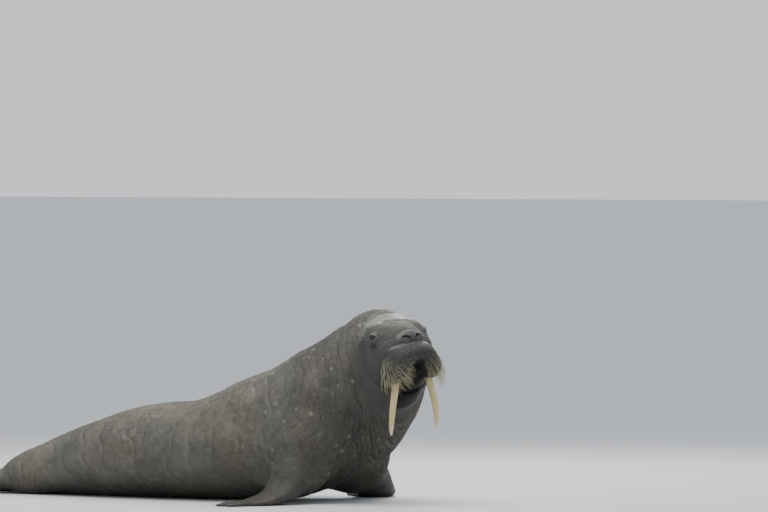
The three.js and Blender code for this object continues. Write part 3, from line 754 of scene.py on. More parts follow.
def mouth_gap(head_left):
    """1 inside the open mouth between the pads, which widens downwards"""
    inside = smooth(11, -9, head_left[:, 1] - mouth_half(head_left[:, 2]))
    return inside * smooth(-100, -140, head_left[:, 2]) * (head_left[:, 0] > -60)


NECK_BOW = (300.0, 560.0)


class Hide:
    """What the skin's folds and colours are reckoned from, at some points of it"""

    def __init__(self, points):
        self.points = points
        ring, other, f, _ = trunk.locate(points)
        self.place = trunk.mixed(trunk.place, ring, other, f)
        self.run = trunk.mixed(trunk.run, ring, other, f)
        off = points - trunk.mixed(trunk.centre, ring, other, f)
        self.height = (off * trunk.up[ring]).sum(1) / trunk.half[ring, 1]
        self.round = np.arctan2((off * trunk.up[ring]).sum(1), (off * trunk.side[ring]).sum(1))
        self.axis = trunk.axis[ring]
        self.head = to_head(points)
        self.head_left = folded(self.head)
        self.eye = np.linalg.norm(self.head_left - EYE_AT, axis=1)
        # 1 on the head, 0 on the trunk
        from_head_middle = np.linalg.norm(self.head, axis=1)
        self.on_head = smooth(-125, -60, self.head[:, 0]) * smooth(520, 330, from_head_middle)
        self.off_pad = np.maximum(pads(self.head) + BARE_DEPTH, 0)
        self.pad = smooth(10, 0, self.off_pad) * self.on_head
        self.jaw = smooth(14, 0, jaw_distance(self.head)) * self.on_head * (1 - self.pad)
        self.mouth = mouth_gap(self.head_left) * self.on_head
        left = folded(points)
        self.flipper = np.zeros(len(points))
        self.along = np.zeros(len(points))
        for flipper in (fore, hind):
            close = flipper.near(left)
            d = flipper.distance(left[close])
            ring, other, f, past = flipper.limb.locate(left[close])
            inner = flipper.limb.mixed(flipper.limb.place, ring, other, f)
            self.flipper[close] = np.maximum(self.flipper[close], smooth(14, 2, d) * smooth(0.4, 1.6, inner))
            run = flipper.limb.mixed(flipper.limb.run, ring, other, f)
            self.along[close] = np.where(d < 14, run + np.maximum(past, 0), self.along[close])
        self.trunk = (1 - self.on_head) * (1 - self.flipper)
        self.wrinkle()

    def wrinkle(self):
        """Shares from 0 to 1 for the creases, so that the folds and the painted shade in them agree"""
        p = self.points
        warp = 0.5 * noise(p, 150, 1) + 0.22 * noise(p, 55, 2)
        # On the neck the wrinkles hang nearly upright, and bend forwards under the chin
        bow = np.hypot(p[:, 0] - NECK_BOW[0], p[:, 2] - NECK_BOW[1])
        self.neck = smooth(6.6, 8.6, self.place) * self.trunk
        self.fold = bell(crest(bow / 52 + warp), 0.3) * (0.6 + 0.4 * noise(p, 90, 3))
        fine = crest(bow / 15.5 + 1.3 * warp + 0.35 * noise(p, 34, 4))
        self.stripe = bell(fine, 0.42) * np.clip(0.55 + 0.75 * noise(p, 70, 5), 0, 1)
        # Slack hide breaks into a net of creases, longer across the body than along it
        near, further, _ = spots(p * [1.35, 1.0, 0.85] + 14 * noise(p, 60, 21)[:, None], 74, 81)
        self.net = bell(further - near, 11) * np.clip(0.6 + 0.7 * noise(p, 180, 27), 0.1, 1)
        self.knob_apart, _, self.knob_own = spots(p, 58, 11)
        self.eye_side, self.eye_up, _ = eye_frame(self.head_left)
        # A band over the forehead, wide on top and narrow down behind the eyes
        x, y, z = self.head.T
        over = smooth(-30, 10, z) * (x > -180)
        front = -34 + 26 * bell(np.abs(y) - 97, 24) - 38 * smooth(112, 134, np.abs(y))
        bent = x + 9 * noise(p, 40, 41)
        self.brow = smooth(-128, -72, bent) * smooth(front + 9, front - 13, bent) * over
        self.behind_brow = bell(bent + 99, 12) * over
        rim = bell(z + 45 + 21 * (y / 130) ** 2, 6)
        self.rim = rim * smooth(30, 70, x) * self.on_head * smooth(14, 4, self.off_pad)
        # The nose is a cap on the front of the face. The cap is 1 at its rim
        self.cap = np.hypot((y + 4) / 67, (z + 28) / 43)
        self.nose = smooth(60, 100, x) * (1 - self.pad)
        self.upper_nose = self.nose * smooth(-34, -12, z)


def relief(hide):
    """How far the skin's own folds, wrinkles and knobs lift it, in millimetres"""
    p = hide.points
    x, y, z = hide.head.T
    low = 0.3 + 0.7 * smooth(0.75, 0.0, hide.height)
    lift = (1.6 - 5.6 * hide.fold) * hide.neck * low
    lift -= 2.8 * hide.stripe * hide.neck * (0.4 + 0.6 * low)
    # The trunk's heavy, slack hide, in broad soft rolls with creases between
    rolls = crest(hide.run / 170 + 0.8 * noise(p, 260, 22) + 0.25 * noise(p, 90, 23))
    flank = smooth(0.2, 1.8, hide.place) * smooth(8.2, 6.6, hide.place) * hide.trunk
    side_on = smooth(0.9, 0.3, np.abs(hide.height))
    lift += (2.0 - 7.0 * bell(rolls, 0.2)) * flank * (0.35 + 0.65 * side_on)
    nape = smooth(0.55, 0.85, hide.height) * hide.neck
    lift += (2.4 * noise(p, 120, 6) + 1.4 * noise(p, 48, 7)) * hide.trunk * (1 - 0.75 * nape) + 1.5 * nape
    lift -= 2.1 * hide.net * hide.trunk * (0.45 + 0.55 * smooth(1, 5, hide.place)) * (1 - 0.8 * hide.neck)
    lift += 0.8 * noise(p, 17, 24) * hide.trunk
    # Knobs on the neck and shoulders, as on a grown bull
    knob = smooth(1, 0, hide.knob_apart / (8 + 11 * hide.knob_own)) * (hide.knob_own > 0.35)
    chest = smooth(6.2, 7.6, hide.place) * smooth(-0.9, -0.2, hide.height) * hide.trunk
    lift += 3.6 * knob * chest
    # A roll over the nape down to behind the eyes, with a groove behind it
    lift += 5.0 * hide.brow - 5.0 * hide.behind_brow
    # Wrinkles round the eyes, a bag below each, and the hollow below that
    ringed = np.cos(2 * np.pi * (hide.eye + 6.0 * noise(p, 30, 12)) / 12.5 + 1.2)
    round_eye = smooth(25, 30, hide.eye) * smooth(88, 40, hide.eye)
    lift += 1.3 * ringed * round_eye * np.clip(0.5 + 0.9 * noise(p, 22, 13), 0, 1)
    lift += 3.2 * oval(hide.eye_up + 31, 8, hide.eye_side, 24) * (hide.eye < 70)
    lift -= 4.2 * oval(hide.eye_up + 47, 7, hide.eye_side, 28) * (hide.eye < 80)
    # Furrows on the cheek run round the pads
    cheek = smooth(4, 12, hide.off_pad) * smooth(74, 44, hide.off_pad) * (1 - hide.jaw)
    cheek *= smooth(10, 34, hide.eye - 26) * smooth(30, 0, z) * smooth(-70, -20, x)
    cheek *= smooth(70, 115, np.abs(y))
    lift += 1.2 * np.cos(2 * np.pi * (hide.off_pad + 5 * noise(p, 50, 25)) / 17) * cheek * hide.on_head
    # The nose has a raised rim above, grooves between the nostrils and a wing below each
    lift += 3.4 * bell(hide.cap - 1, 0.1) * hide.upper_nose
    lift -= 3.6 * bell(hide.cap - 1.24, 0.11) * hide.upper_nose
    septum = smooth(14, 9, np.abs(y)) * smooth(0, -14, z) * hide.nose
    lift += 2.0 * np.cos(2 * np.pi * y / 11) * septum
    lift += 3.0 * smooth(15, 4, np.hypot(np.abs(y) - 36, (z + 38) * 1.1)) * hide.nose
    # Furrows over the forehead
    bald = hide.on_head * (1 - hide.pad) * (1 - hide.jaw) * smooth(20, 40, hide.eye)
    furrow = bell(crest(x / 24 + 0.6 * noise(p, 60, 14)), 0.28)
    lift -= 1.6 * furrow * bald * smooth(75, 45, x) * smooth(0, 40, z)
    lift += (1.3 * noise(p, 34, 26) + 0.8 * noise(p, 14, 15)) * bald
    # The pads have a raised upper edge, and swell a little between their bristles
    lift += 2.6 * hide.rim
    lift += (1.3 * noise(p, 40, 16) + 0.7 * noise(p, 13, 17)) * hide.pad
    lift += 0.9 * noise(p, 14, 18) * hide.jaw
    # Flippers: creases across, and a leathery grain
    lift -= 1.6 * bell(crest(hide.along / 27 + 0.5 * noise(p, 40, 19)), 0.35) * hide.flipper
    lift += (0.9 * noise(p, 18, 20) - 0.9 * hide.net) * hide.flipper
    return lift


# Linear colours of the hide
HIDE_BASE = np.array([0.106, 0.103, 0.09])
HIDE_WARM = np.array([0.142, 0.124, 0.097])
HIDE_PALE = np.array([0.42, 0.39, 0.325])
HIDE_DARK = np.array([0.026, 0.023, 0.02])
HIDE_FACE = np.array([0.066, 0.067, 0.062])
PAD_TONE = np.array([0.046, 0.047, 0.043])
# Near black for painted shade in the mouth and nostrils
SHADE_BLACK = np.array([0.014, 0.013, 0.012])


def painted(colour, layers):
    """A colour under layers of others, each with its share from 0 to 1"""
    for target, share in layers:
        colour = colour + (target - colour) * np.clip(share, 0, 1)[:, None]
    return colour


def tone(hide):
    """Colour and wetness of the hide"""
    p = hide.points
    x, y, z = hide.head.T
    warm = 0.45 + 0.45 * noise(p, 220, 31) + 0.2 * noise(p, 60, 32)
    colour = painted(np.tile(HIDE_BASE, (len(p), 1)), [(HIDE_WARM, warm)])
    colour = colour * (1 + 0.18 * noise(p, 90, 33) + 0.12 * noise(p, 26, 34))[:, None]
    # Painted shade darkens the creases, and the hide between them is a little paler
    crease_shade = 0.35 * hide.fold * hide.neck + 0.7 * hide.stripe * hide.neck
    crease_shade += 0.36 * hide.net * hide.trunk * (1 - 0.8 * hide.neck)
    colour = colour * (1.1 - 0.6 * np.clip(crease_shade, 0, 1))[:, None]
    chest = smooth(5.6, 7.2, hide.place) * hide.trunk
    knob = smooth(1, 0.2, hide.knob_apart / (7 + 9 * hide.knob_own)) * (hide.knob_own > 0.42)
    apart, _, own = spots(p, 27, 51)
    lit_top = smooth(10, 60, z)
    behind = smooth(-150, -90, x) * smooth(-20, -60, x) * smooth(70, 10, z)
    layers = [
        # Paler knobs and old scars on neck and shoulders
        (HIDE_PALE, 0.75 * knob * chest),
        (HIDE_PALE, 0.4 * smooth(6, 2, apart) * (own > 0.62) * (0.2 + 0.8 * chest)),
        # Painted shade on the underside, and the flippers' own darker skin
        (HIDE_DARK, 0.45 * smooth(0, -0.9, hide.height) * (1 - hide.on_head)),
        (HIDE_DARK, hide.flipper * (0.42 + 0.2 * noise(p, 50, 35) + 0.2 * hide.net)),
        # The face is darker than the neck, partly its own tone and partly painted shade, and its top is
        # painted paler and warmer as painted light from above
        (HIDE_FACE, (0.92 - 0.22 * lit_top) * hide.on_head),
        # Painted shade on the sides of the head behind the eyes
        (HIDE_DARK, 0.3 * behind * (0.7 + 0.6 * noise(p, 50, 40))),
        (HIDE_WARM, 0.3 * lit_top * hide.on_head),
    ]
    colour = painted(colour, layers)
    nape = smooth(0.3, 0.9, hide.height) * smooth(7.5, 9.5, hide.place)
    colour = colour * (1 - (0.14 * hide.neck + 0.14 * nape) * (1 - hide.on_head))[:, None]
    lids = almond(hide.eye_side, hide.eye_up)
    # Painted shadow under the jaw, over the chin and throat
    chin = smooth(-150, -200, z) * smooth(-400, -240, z) * smooth(-130, 30, x)
    chin *= smooth(150, 30, np.abs(y) + 25 * noise(p, 60, 39))
    layers = [
        # Painted highlight: a pale band of wet sheen along the brow roll
        (HIDE_PALE, 0.19 * hide.brow * (0.8 + 0.5 * noise(p, 24, 38))),
        # Painted shade, darkest in the hollow below the eyes, then a pale ring and a dark edge to the lids
        (HIDE_DARK, 0.85 * oval(hide.eye_up + 45, 23, hide.eye_side, 27) * (hide.eye < 110)),
        (HIDE_PALE, 0.16 * bell(lids - 7.5, 3) * (hide.eye < 40)),
        (HIDE_DARK, 0.9 * smooth(5.5, 2.5, lids) * (hide.eye < 40)),
        # Near black pads with a pale rim painted as a highlight along their raised edge, a pale rim to the
        # nose, and black nostrils, mouth and chin painted as shade
        (PAD_TONE, 0.92 * hide.pad),
        (HIDE_PALE, 0.34 * hide.rim * (0.6 + 0.4 * noise(p, 12, 37))),
        (HIDE_PALE, 0.22 * bell(hide.cap - 1, 0.1) * hide.upper_nose),
        (HIDE_DARK, 0.85 * chin),
        # Painted shade in the mouth's gap between the pads and on the jaw
        (SHADE_BLACK, np.maximum(0.85 * hide.jaw, hide.mouth) * smooth(-105, -150, z)),
        # Painted shade in the nostril slits
        (SHADE_BLACK, smooth(1.5, -1, nostril_distance(hide.head_left)) * hide.upper_nose),
    ]
    colour = painted(colour, layers)
    wet = 0.3 + 0.2 * noise(p, 130, 36) + 0.2 * hide.rim
    wet += 0.7 * np.maximum(hide.brow, 0.3 * smooth(30, 22, hide.eye))
    wet = wet * (1 - 0.6 * hide.on_head * (1 - hide.brow) * (hide.eye > 30))
    return np.clip(colour, 0.004, 1), np.clip(wet * (1 - 0.8 * hide.mouth), 0, 1)


def new_mesh(name, points, faces, smoothed=True):
    mesh = bpy.data.meshes.new(name)
    mesh.vertices.add(len(points))
    mesh.vertices.foreach_set("co", (np.asarray(points) * MM).astype(np.float32).ravel())
    sides = faces.shape[1]
    mesh.loops.add(faces.size)
    mesh.loops.foreach_set("vertex_index", faces.astype(np.int32).ravel())
    mesh.polygons.add(len(faces))
    mesh.polygons.foreach_set("loop_start", np.arange(0, faces.size, sides, dtype=np.int32))
    mesh.update(calc_edges=True)
    mesh.polygons.foreach_set("use_smooth", np.full(len(faces), smoothed))
    piece = bpy.data.objects.new(name, mesh)
    bpy.context.scene.collection.objects.link(piece)
    return piece


def set_tone(piece, colour, wet):
    mesh = piece.data
    tint = mesh.color_attributes.new("tone", "FLOAT_COLOR", "POINT")
    tint.data.foreach_set("color", np.column_stack([colour, wet]).astype(np.float32).ravel())


class Nodes:
    """A short way to write a material's nodes"""

    def __init__(self, name):
        self.material = bpy.data.materials.new(name)
        self.material.use_nodes = True
        self.tree = self.material.node_tree
        self.shader = self.tree.nodes["Principled BSDF"]

    def add(self, kind, **settings):
        node = self.tree.nodes.new(kind)
        for key, value in settings.items():
            if key in node.inputs:
                node.inputs[key].default_value = value
            else:
                setattr(node, key, value)
        return node

    def link(self, out, into):
        self.tree.links.new(out, into)
        return into

    def math(self, operation, *values):
        node = self.add("ShaderNodeMath", operation=operation)
        for socket, value in zip(node.inputs, values):
            if hasattr(value, "is_linked"):
                self.link(value, socket)
            else:
                socket.default_value = value
        return node.outputs[0]

    def texture(self, kind, scale, **settings):
        place = self.add("ShaderNodeTexCoord").outputs["Object"]
        node = self.add(kind, **settings)
        node.inputs["Scale"].default_value = scale
        self.link(place, node.inputs["Vector"])
        return node

    def tint(self):
        """The mesh's own colour, and its wetness as alpha"""
        return self.add("ShaderNodeAttribute", attribute_name="tone")

    def bump(self, height, strength, distance):
        node = self.add("ShaderNodeBump", Strength=strength, Distance=distance)
        self.link(height, node.inputs["Height"])
        self.link(node.outputs["Normal"], self.shader.inputs["Normal"])

    def set(self, **values):
        for key, value in values.items():
            self.shader.inputs[key.replace("_", " ")].default_value = value


# How much the wetness changes the roughness and the sheen, and what they are on dry skin and dry hair
WET_ROUGH, DRY_ROUGH, HAIR_ROUGH = -0.26, 0.62, 0.66
WET_SHEEN, DRY_SHEEN = 0.55, 0.12


def hide_material(name, furry):
    made = Nodes(name)
    tint = made.tint()
    grain = made.texture("ShaderNodeTexNoise", 210.0, Detail=6.0)
    shade = made.add("ShaderNodeVectorMath", operation="SCALE")
    made.link(tint.outputs["Color"], shade.inputs[0])
    made.link(made.math("MULTIPLY_ADD", grain.outputs["Fac"], 0.5, 0.75), shade.inputs["Scale"])
    made.link(shade.outputs[0], made.shader.inputs["Base Color"])
    rough = made.math("MULTIPLY_ADD", tint.outputs["Alpha"], WET_ROUGH, HAIR_ROUGH if furry else DRY_ROUGH)
    made.link(rough, made.shader.inputs["Roughness"])
    sheen = made.math("MULTIPLY_ADD", tint.outputs["Alpha"], WET_SHEEN, DRY_SHEEN)
    made.link(sheen, made.shader.inputs["Specular IOR Level"])
    made.set(IOR=1.4)
    if furry:
        return made.material
    # Fine cracks between small plates, pores and grain
    cracks = made.texture("ShaderNodeTexVoronoi", 95.0, feature="DISTANCE_TO_EDGE")
    warp = made.texture("ShaderNodeTexNoise", 60.0, Detail=3.0)
    moved = made.add("ShaderNodeVectorMath", operation="MULTIPLY_ADD")
    made.link(warp.outputs["Color"], moved.inputs[0])
    moved.inputs[1].default_value = (0.016, 0.016, 0.016)
    made.link(made.add("ShaderNodeTexCoord").outputs["Object"], moved.inputs[2])
    made.link(moved.outputs[0], cracks.inputs["Vector"])
    valley = made.math("MINIMUM", made.math("MULTIPLY", cracks.outputs["Distance"], 5.0), 1.0)
    pores = made.texture("ShaderNodeTexNoise", 900.0, Detail=2.0)
    height = made.math("MULTIPLY", pores.outputs["Fac"], 0.22)
    height = made.math("MULTIPLY_ADD", valley, 0.42, height)
    height = made.math("MULTIPLY_ADD", grain.outputs["Fac"], 0.6, height)
    made.bump(height, 0.7, 0.0016)
    return made.material


# How deep the openings between the lids, in the nose and at the ears are sunk, and how wide the lids' edge is
LID_SUNK, NOSTRIL_SUNK, EAR_SUNK = 11.0, 9.0, 6.0
LID_EDGE, LID_SNAP = 0.3, 0.8


def sink(points):
    """Sinks the openings of the eyes, nostrils and ears into the skin"""
    head = to_head(points)
    side = np.where(head[:, 1] < 0, -1.0, 1.0)
    left = folded(head)
    s, u, w = eye_frame(left)
    near = (w > 4) & (np.linalg.norm(left - EYE_AT, axis=1) < 45)
    gap = almond(s, u)
    # Points close to the lids' edges move onto them, so that the edges are clean lines
    snapped = np.where(np.abs(gap) < LID_SNAP, np.where(gap < 0, -LID_EDGE, LID_EDGE), gap)
    step = 0.05
    slope_s = (almond(s + step, u) - almond(s - step, u)) / (2 * step)
    slope_u = (almond(s, u + step) - almond(s, u - step)) / (2 * step)
    steep = np.maximum(slope_s**2 + slope_u**2, 0.2)
    moved = (snapped - gap) * near
    left = left + EYE_SIDE * (moved * slope_s / steep)[:, None] + HEAD_UP * (moved * slope_u / steep)[:, None]
    rounded = 1.1 * smooth(2.2, 0.2, snapped) ** 2
    deep = np.where(snapped < 0, LID_SUNK, rounded) * near
    left = left - EYE_OUT * deep[:, None]
    left[:, 0] -= NOSTRIL_SUNK * smooth(0.8, -1.6, nostril_distance(left)) * (left[:, 0] > 100)
    left[:, 1] -= EAR_SUNK * smooth(0.5, -1.5, ear_distance(left))
    left[:, 1] *= side
    return from_head(left)


def inside_box(points):
    """The points, held half a millimetre inside the solids' box, and on its floor"""
    return np.clip(points, np.array(CAD_BOX[0]) / MM + [0.5, 0.5, 0], np.array(CAD_BOX[1]) / MM - 0.5)


def build_skin():
    values, low = sampled_grid()
    points, quads = surface_net(values, low)
    faces = triangles(points, quads)
    points, faces = largest_piece(points, faces)
    points = settle(points, 2)
    points = settle(relax(points, faces), 2)
    for _ in range(REFININGS):
        points, faces = refine(points, faces, wanted_size)
        points = settle(relax(points, faces, 0.3), 1, most=1.5)
    normals = unit(sloped(points)[1])
    hide = Hide(points)
    off_floor = smooth(1, 12, points[:, 2])
    points = points + normals * (relief(hide) * off_floor)[:, None]
    near_head = np.linalg.norm(to_head(points), axis=1) < 320
    points[near_head] = sink(points[near_head])
    points = inside_box(points)
    skin = new_mesh("skin", points, faces)
    set_tone(skin, *tone(hide))
    return skin, points, faces, normals, hide


skin, skin_points, skin_faces, skin_normals, skin_hide = build_skin()
skin.data.materials.append(hide_material("hide", False))
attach(skin, "root")
FLESH_NODES = ["head", "neck", "torso", "rump", "tail", "lower_jaw"]
for flesh_name in ("muzzle", "fore_flipper", "hind_flipper"):
    FLESH_NODES += [flesh_name + "_left", flesh_name + "_right"]
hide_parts(*FLESH_NODES)


def tube(spots_along, radii, sides):
    """Points and faces of closed tubes. spots_along is tubes x steps x 3, and radii is tubes x steps"""
    count, steps, _ = spots_along.shape
    axis = unit(np.gradient(spots_along, axis=1))
    across = unit(np.cross(axis, np.array([0.31, 0.92, 0.24])))
    over = np.cross(axis, across)
    angles = np.arange(sides) * 2 * np.pi / sides
    ring = across[:, :, None] * np.cos(angles)[:, None] + over[:, :, None] * np.sin(angles)[:, None]
    body = spots_along[:, :, None] + ring * radii[:, :, None, None]
    points = np.concatenate([body.reshape(count, -1, 3), spots_along[:, -1:]], axis=1)
    faces = []
    for step in range(steps - 1):
        for k in range(sides):
            a, b = step * sides + k, step * sides + (k + 1) % sides
            faces += [[a, b, b + sides], [a, b + sides, a + sides]]
    tip = steps * sides
    faces += [[tip - sides + k, tip - sides + (k + 1) % sides, tip] for k in range(sides)]
    faces += [[0, k + 1, k] for k in range(1, sides - 1)]
    faces = np.array(faces)
    every = faces[None] + (np.arange(count) * points.shape[1])[:, None, None]
    return points.reshape(-1, 3), every.reshape(-1, 3)


def plain_material(name, colour, roughness, **more):
    made = Nodes(name)
    made.set(Base_Color=(*colour, 1.0), Roughness=roughness, **more)
    return made.material


WHISKER_ROWS, WHISKER_COLUMNS = 13, 15
# Degrees round each pad from the mouth to the cheek, and from its upper edge to its lower
WHISKERS_AROUND, WHISKERS_UPWARDS = (-66, 106), (38, -52)
WHISKER_STEPS, WHISKER_SIDES = 7, 5
WHISKER_LENGTHS = (6.0, 70.0)
WHISKER_RADII = (0.55, 1.1)
WHISKER_CLUMP = 0.55
WHISKER_SUNK = 3.0
# How many times the stretch with a root in it is halved, how far roots stay from the mouth, and the taper
ROOT_HALVINGS, ROOT_FROM_MOUTH, WHISKER_TAPER = 24, 5, 0.7
# Centre and radii of the left pad, and how far each side's bristles lean towards the mouth
WHISKER_PAD = (np.array([84.0, 84.0, -146.0]), np.array([106.0, 78.0, 84.0]))
WHISKER_SWEEP = {1: 0.1, -1: 0.95}
# How far the free parts of the bristles stay from skin and tusks, and how far apart a tusk's rows lie
SKIN_CLEAR, TUSK_CLEAR = 2.2, 2.4
TUSK_ROW_FALL = 74


def between(ends, share):
    return ends[0] + (ends[1] - ends[0]) * share


def whisker_paths(side, random):
    """Stiff bristles on one pad, short above, long below and at the sides, wet, and swept down and inwards"""
    row, column = np.indices((WHISKER_ROWS, WHISKER_COLUMNS)).reshape(2, -1)
    down = np.clip((row + random.uniform(-0.3, 0.3, row.size)) / (WHISKER_ROWS - 1), 0, 1)
    across = (column + 0.5 * (row % 2) + random.uniform(-0.25, 0.25, row.size)) / WHISKER_COLUMNS
    around = np.radians(between(WHISKERS_AROUND, across))
    upwards = np.radians(between(WHISKERS_UPWARDS, down))
    level = np.cos(upwards)
    out = np.column_stack([level * np.cos(around), level * np.sin(around), np.sin(upwards)])
    centre, size = WHISKER_PAD
    low, high = np.zeros(row.size), np.full(row.size, 2.0)
    for _ in range(ROOT_HALVINGS):
        middle = (low + high) / 2
        inside = pads(centre + out * size * middle[:, None]) + BARE_DEPTH < 0
        low, high = np.where(inside, middle, low), np.where(inside, high, middle)
    roots = centre + out * size * low[:, None]
    keep = (roots[:, 1] > mouth_half(roots[:, 2]) + ROOT_FROM_MOUTH) & (roots[:, 0] > 20)
    roots, out, down, across = roots[keep], out[keep], down[keep], across[keep]
    clump = ((row // 2) * WHISKER_COLUMNS + (column + row // 2 % 2) // 2)[keep]
    normal = unit(out / size)
    grade = np.clip(1.2 * down - 0.14 + 0.34 * smooth(0.55, 0.95, across), 0, 1) ** 1.2
    length = between(WHISKER_LENGTHS, grade)
    length *= (1 - 0.3 * smooth(0.5, 0.1, across)) * random.uniform(0.7, 1.12, len(roots))
    inwards = WHISKER_SWEEP[side] * smooth(1.0, 0.45, across) * smooth(0.0, 0.25, across)
    target = np.column_stack([np.full(len(roots), 0.16), 0.06 - inwards, -0.6 - 0.4 * down])
    target = unit(target + random.normal(0, 0.06, target.shape))
    first = unit(normal * (0.85 - 0.35 * grade)[:, None] + target * (0.6 + 0.25 * grade)[:, None])
    t = np.linspace(0, 1, WHISKER_STEPS)[None, :, None]
    path = first[:, None] * (t - 0.5 * t**2) + target[:, None] * 0.5 * t**2
    path = roots[:, None] + path * 1.15 * length[:, None, None]
    path -= (first * WHISKER_SUNK)[:, None] * (1 - t) ** 3
    # Wet bristles cling together towards their tips
    _, number = np.unique(clump, return_inverse=True)
    shared = np.stack([np.bincount(number, path[:, -1, k]) for k in range(3)], 1)
    shared = shared / np.bincount(number)[:, None]
    path += (shared[number] - path[:, -1])[:, None] * WHISKER_CLUMP * t**1.5
    taper = 1 - WHISKER_TAPER * np.linspace(0, 1, WHISKER_STEPS) ** 1.3
    radii = between(WHISKER_RADII, grade)[:, None] * taper
    return path * np.array([1, side, 1]), radii


def kept_clear(path):
    """Bends bristles that would run through skin or tusk until they are clear of it"""
    free = path[:, 2:].reshape(-1, 3)
    for _ in range(3):
        gap, slope = sloped(free)
        free = free + unit(slope) * np.maximum(SKIN_CLEAR - gap, 0)[:, None]
        head = folded(to_head(free))
        place = np.clip((TUSK[0][2] - head[:, 2]) / TUSK_ROW_FALL, 0, len(TUSK) - 1)
        beside = unit((head - rows_at(TUSK, place)[:, :3]) * [1, 1, 0])
        beside[:, 1] *= np.sign(to_head(free)[:, 1])
        gap = tusk_spine.distance(head)
        free = free + turn_from_head(beside) * np.maximum(TUSK_CLEAR - gap, 0)[:, None]
    path[:, 2:] = free.reshape(path[:, 2:].shape)
    return path


def add_whiskers():
    random = np.random.default_rng(RANDOM_SEED)
    paths, radii = zip(*(whisker_paths(side, random) for side in (1, -1)))
    paths, radii = np.concatenate(paths), np.concatenate(radii)
    paths = kept_clear(from_head(paths.reshape(-1, 3)).reshape(paths.shape))
    points, faces = tube(paths, radii, WHISKER_SIDES)
    whiskers = new_mesh("whiskers", inside_box(points), faces)
    whiskers.data.materials.append(plain_material("whisker", (0.43, 0.39, 0.235), 0.42, IOR=1.5))
    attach(whiskers, "root")
    return paths[:, 1]


whisker_roots = add_whiskers()


DOT_RADII, DOT_DARK = (4.4, 2.2), 0.6


def dot_roots(piece, points, roots):
    """A dark dot on the skin at each whisker's root"""
    tint = piece.data.color_attributes["tone"]
    values = np.empty(len(points) * 4, np.float32)
    tint.data.foreach_get("color", values)
    values = values.reshape(-1, 4)
    near = np.flatnonzero(np.linalg.norm(points - from_head(np.array([[82.0, 0, -140]])), axis=1) < 240)
    least = np.full(len(near), np.inf)
    for i in range(0, len(roots), 40):
        off = points[near, None] - roots[None, i : i + 40]
        least = np.minimum(least, (off**2).sum(2).min(1))
    values[near, :3] *= (1 - DOT_DARK * smooth(*DOT_RADII, np.sqrt(least)))[:, None]
    tint.data.foreach_set("color", values.ravel())


dot_roots(skin, skin_points, whisker_roots)


def ring_strip(a, b, step):
    """Two triangles between each two neighbours on a ring and those on the next"""
    return [np.column_stack([a, b, b + step]), np.column_stack([a, b + step, a + step])]


TUSK_RINGS, TUSK_SIDES, TUSK_LENGTH = 90, 40, 370
IVORY = np.array([0.62, 0.48, 0.23])
IVORY_STAIN = np.array([0.24, 0.165, 0.08])
IVORY_TIP = np.array([0.68, 0.6, 0.42])


def add_tusk(name, side):
    """An oval tusk, slightly fluted along its length, stained at the root and worn pale at the tip"""
    rows = rows_at(TUSK, np.linspace(0, len(TUSK) - 1, TUSK_RINGS))
    ring, k = np.arange(TUSK_RINGS), np.arange(TUSK_SIDES)
    following = (k + 1) % TUSK_SIDES
    wobble = 1 + 0.018 * np.sin(ring * 0.9) + 0.012 * np.sin(ring * 2.3 + side)
    angle = k * 2 * np.pi / TUSK_SIDES
    flute = 1 + 0.016 * np.sin(angle * 5 + 1) + 0.01 * np.sin(angle * 11)
    deep = (rows[:, 4] * wobble)[:, None] * (np.cos(angle) * flute)[None]
    wide = (rows[:, 3] * wobble)[:, None] * (np.sin(angle) * flute)[None]
    x, y, z = (rows[:, axis, None] for axis in range(3))
    body = np.stack([x + deep, (y - wide) * side, np.repeat(z, TUSK_SIDES, 1)], -1).reshape(-1, 3)
    tip = np.array([[rows[-1, 0] - 1, rows[-1, 1] * side, rows[-1, 2] - 3.5]])
    points = from_head(np.vstack([body, tip]))
    start = ring[:-1, None] * TUSK_SIDES
    last = (TUSK_RINGS - 1) * TUSK_SIDES
    faces = ring_strip((start + k).ravel(), (start + following).ravel(), TUSK_SIDES)
    faces += [np.column_stack([last + k, last + following, np.full(TUSK_SIDES, len(body))])]
    faces = np.vstack(faces + [[[0, corner + 1, corner] for corner in range(1, TUSK_SIDES - 1)]])
    tusk = new_mesh("tusk_" + name, points, faces[:, ::-1] if side > 0 else faces)
    tusk.data.materials.append(ivory)
    down = (np.append(rows[:, 2].repeat(TUSK_SIDES), rows[-1, 2]) - TUSK[0][2]) / -TUSK_LENGTH
    head = to_head(points)
    streak = noise(head * [1, 1, 0.06], 7, 61)
    stain = smooth(0.75, 0.15, down) * (0.5 + 0.5 * streak) * 0.6 + 0.25 * smooth(0.2, 0.05, down - 0.2)
    colour = IVORY * (1 + 0.1 * noise(head, 22, 62))[:, None]
    colour = painted(colour, [(IVORY_STAIN, stain), (IVORY_TIP, smooth(0.82, 1.0, down) * 0.7)])
    set_tone(tusk, np.clip(colour, 0, 1), 0.5 + 0.3 * noise(head, 30, 63))
    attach(tusk, "root")
    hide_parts("tusk_" + name)


def ivory_material():
    made = Nodes("ivory")
    made.link(made.tint().outputs["Color"], made.shader.inputs["Base Color"])
    made.set(Roughness=0.3, IOR=1.54)
    # The grain runs along the tusk
    long = made.add("ShaderNodeMapping")
    long.inputs["Scale"].default_value = (1.0, 1.0, 0.05)
    made.link(made.add("ShaderNodeTexCoord").outputs["Object"], long.inputs["Vector"])
    grain = made.add("ShaderNodeTexNoise", Scale=420.0, Detail=4.0)
    made.link(long.outputs[0], grain.inputs["Vector"])
    made.bump(grain.outputs["Fac"], 0.5, 0.0006)
    return made.material


ivory = ivory_material()
for tusk_name, tusk_side in (("left", 1), ("right", -1)):
    add_tusk(tusk_name, tusk_side)


EYE_RINGS, EYE_SIDES = 40, 64
# How much of the socket's radius the ball has, how far its front bulges, and its colours
EYE_FILLS, EYE_BULGE = 0.97, 0.05
IRIS, IRIS_EDGE = np.array([0.05, 0.03, 0.019]), np.array([0.06, 0.03, 0.022])


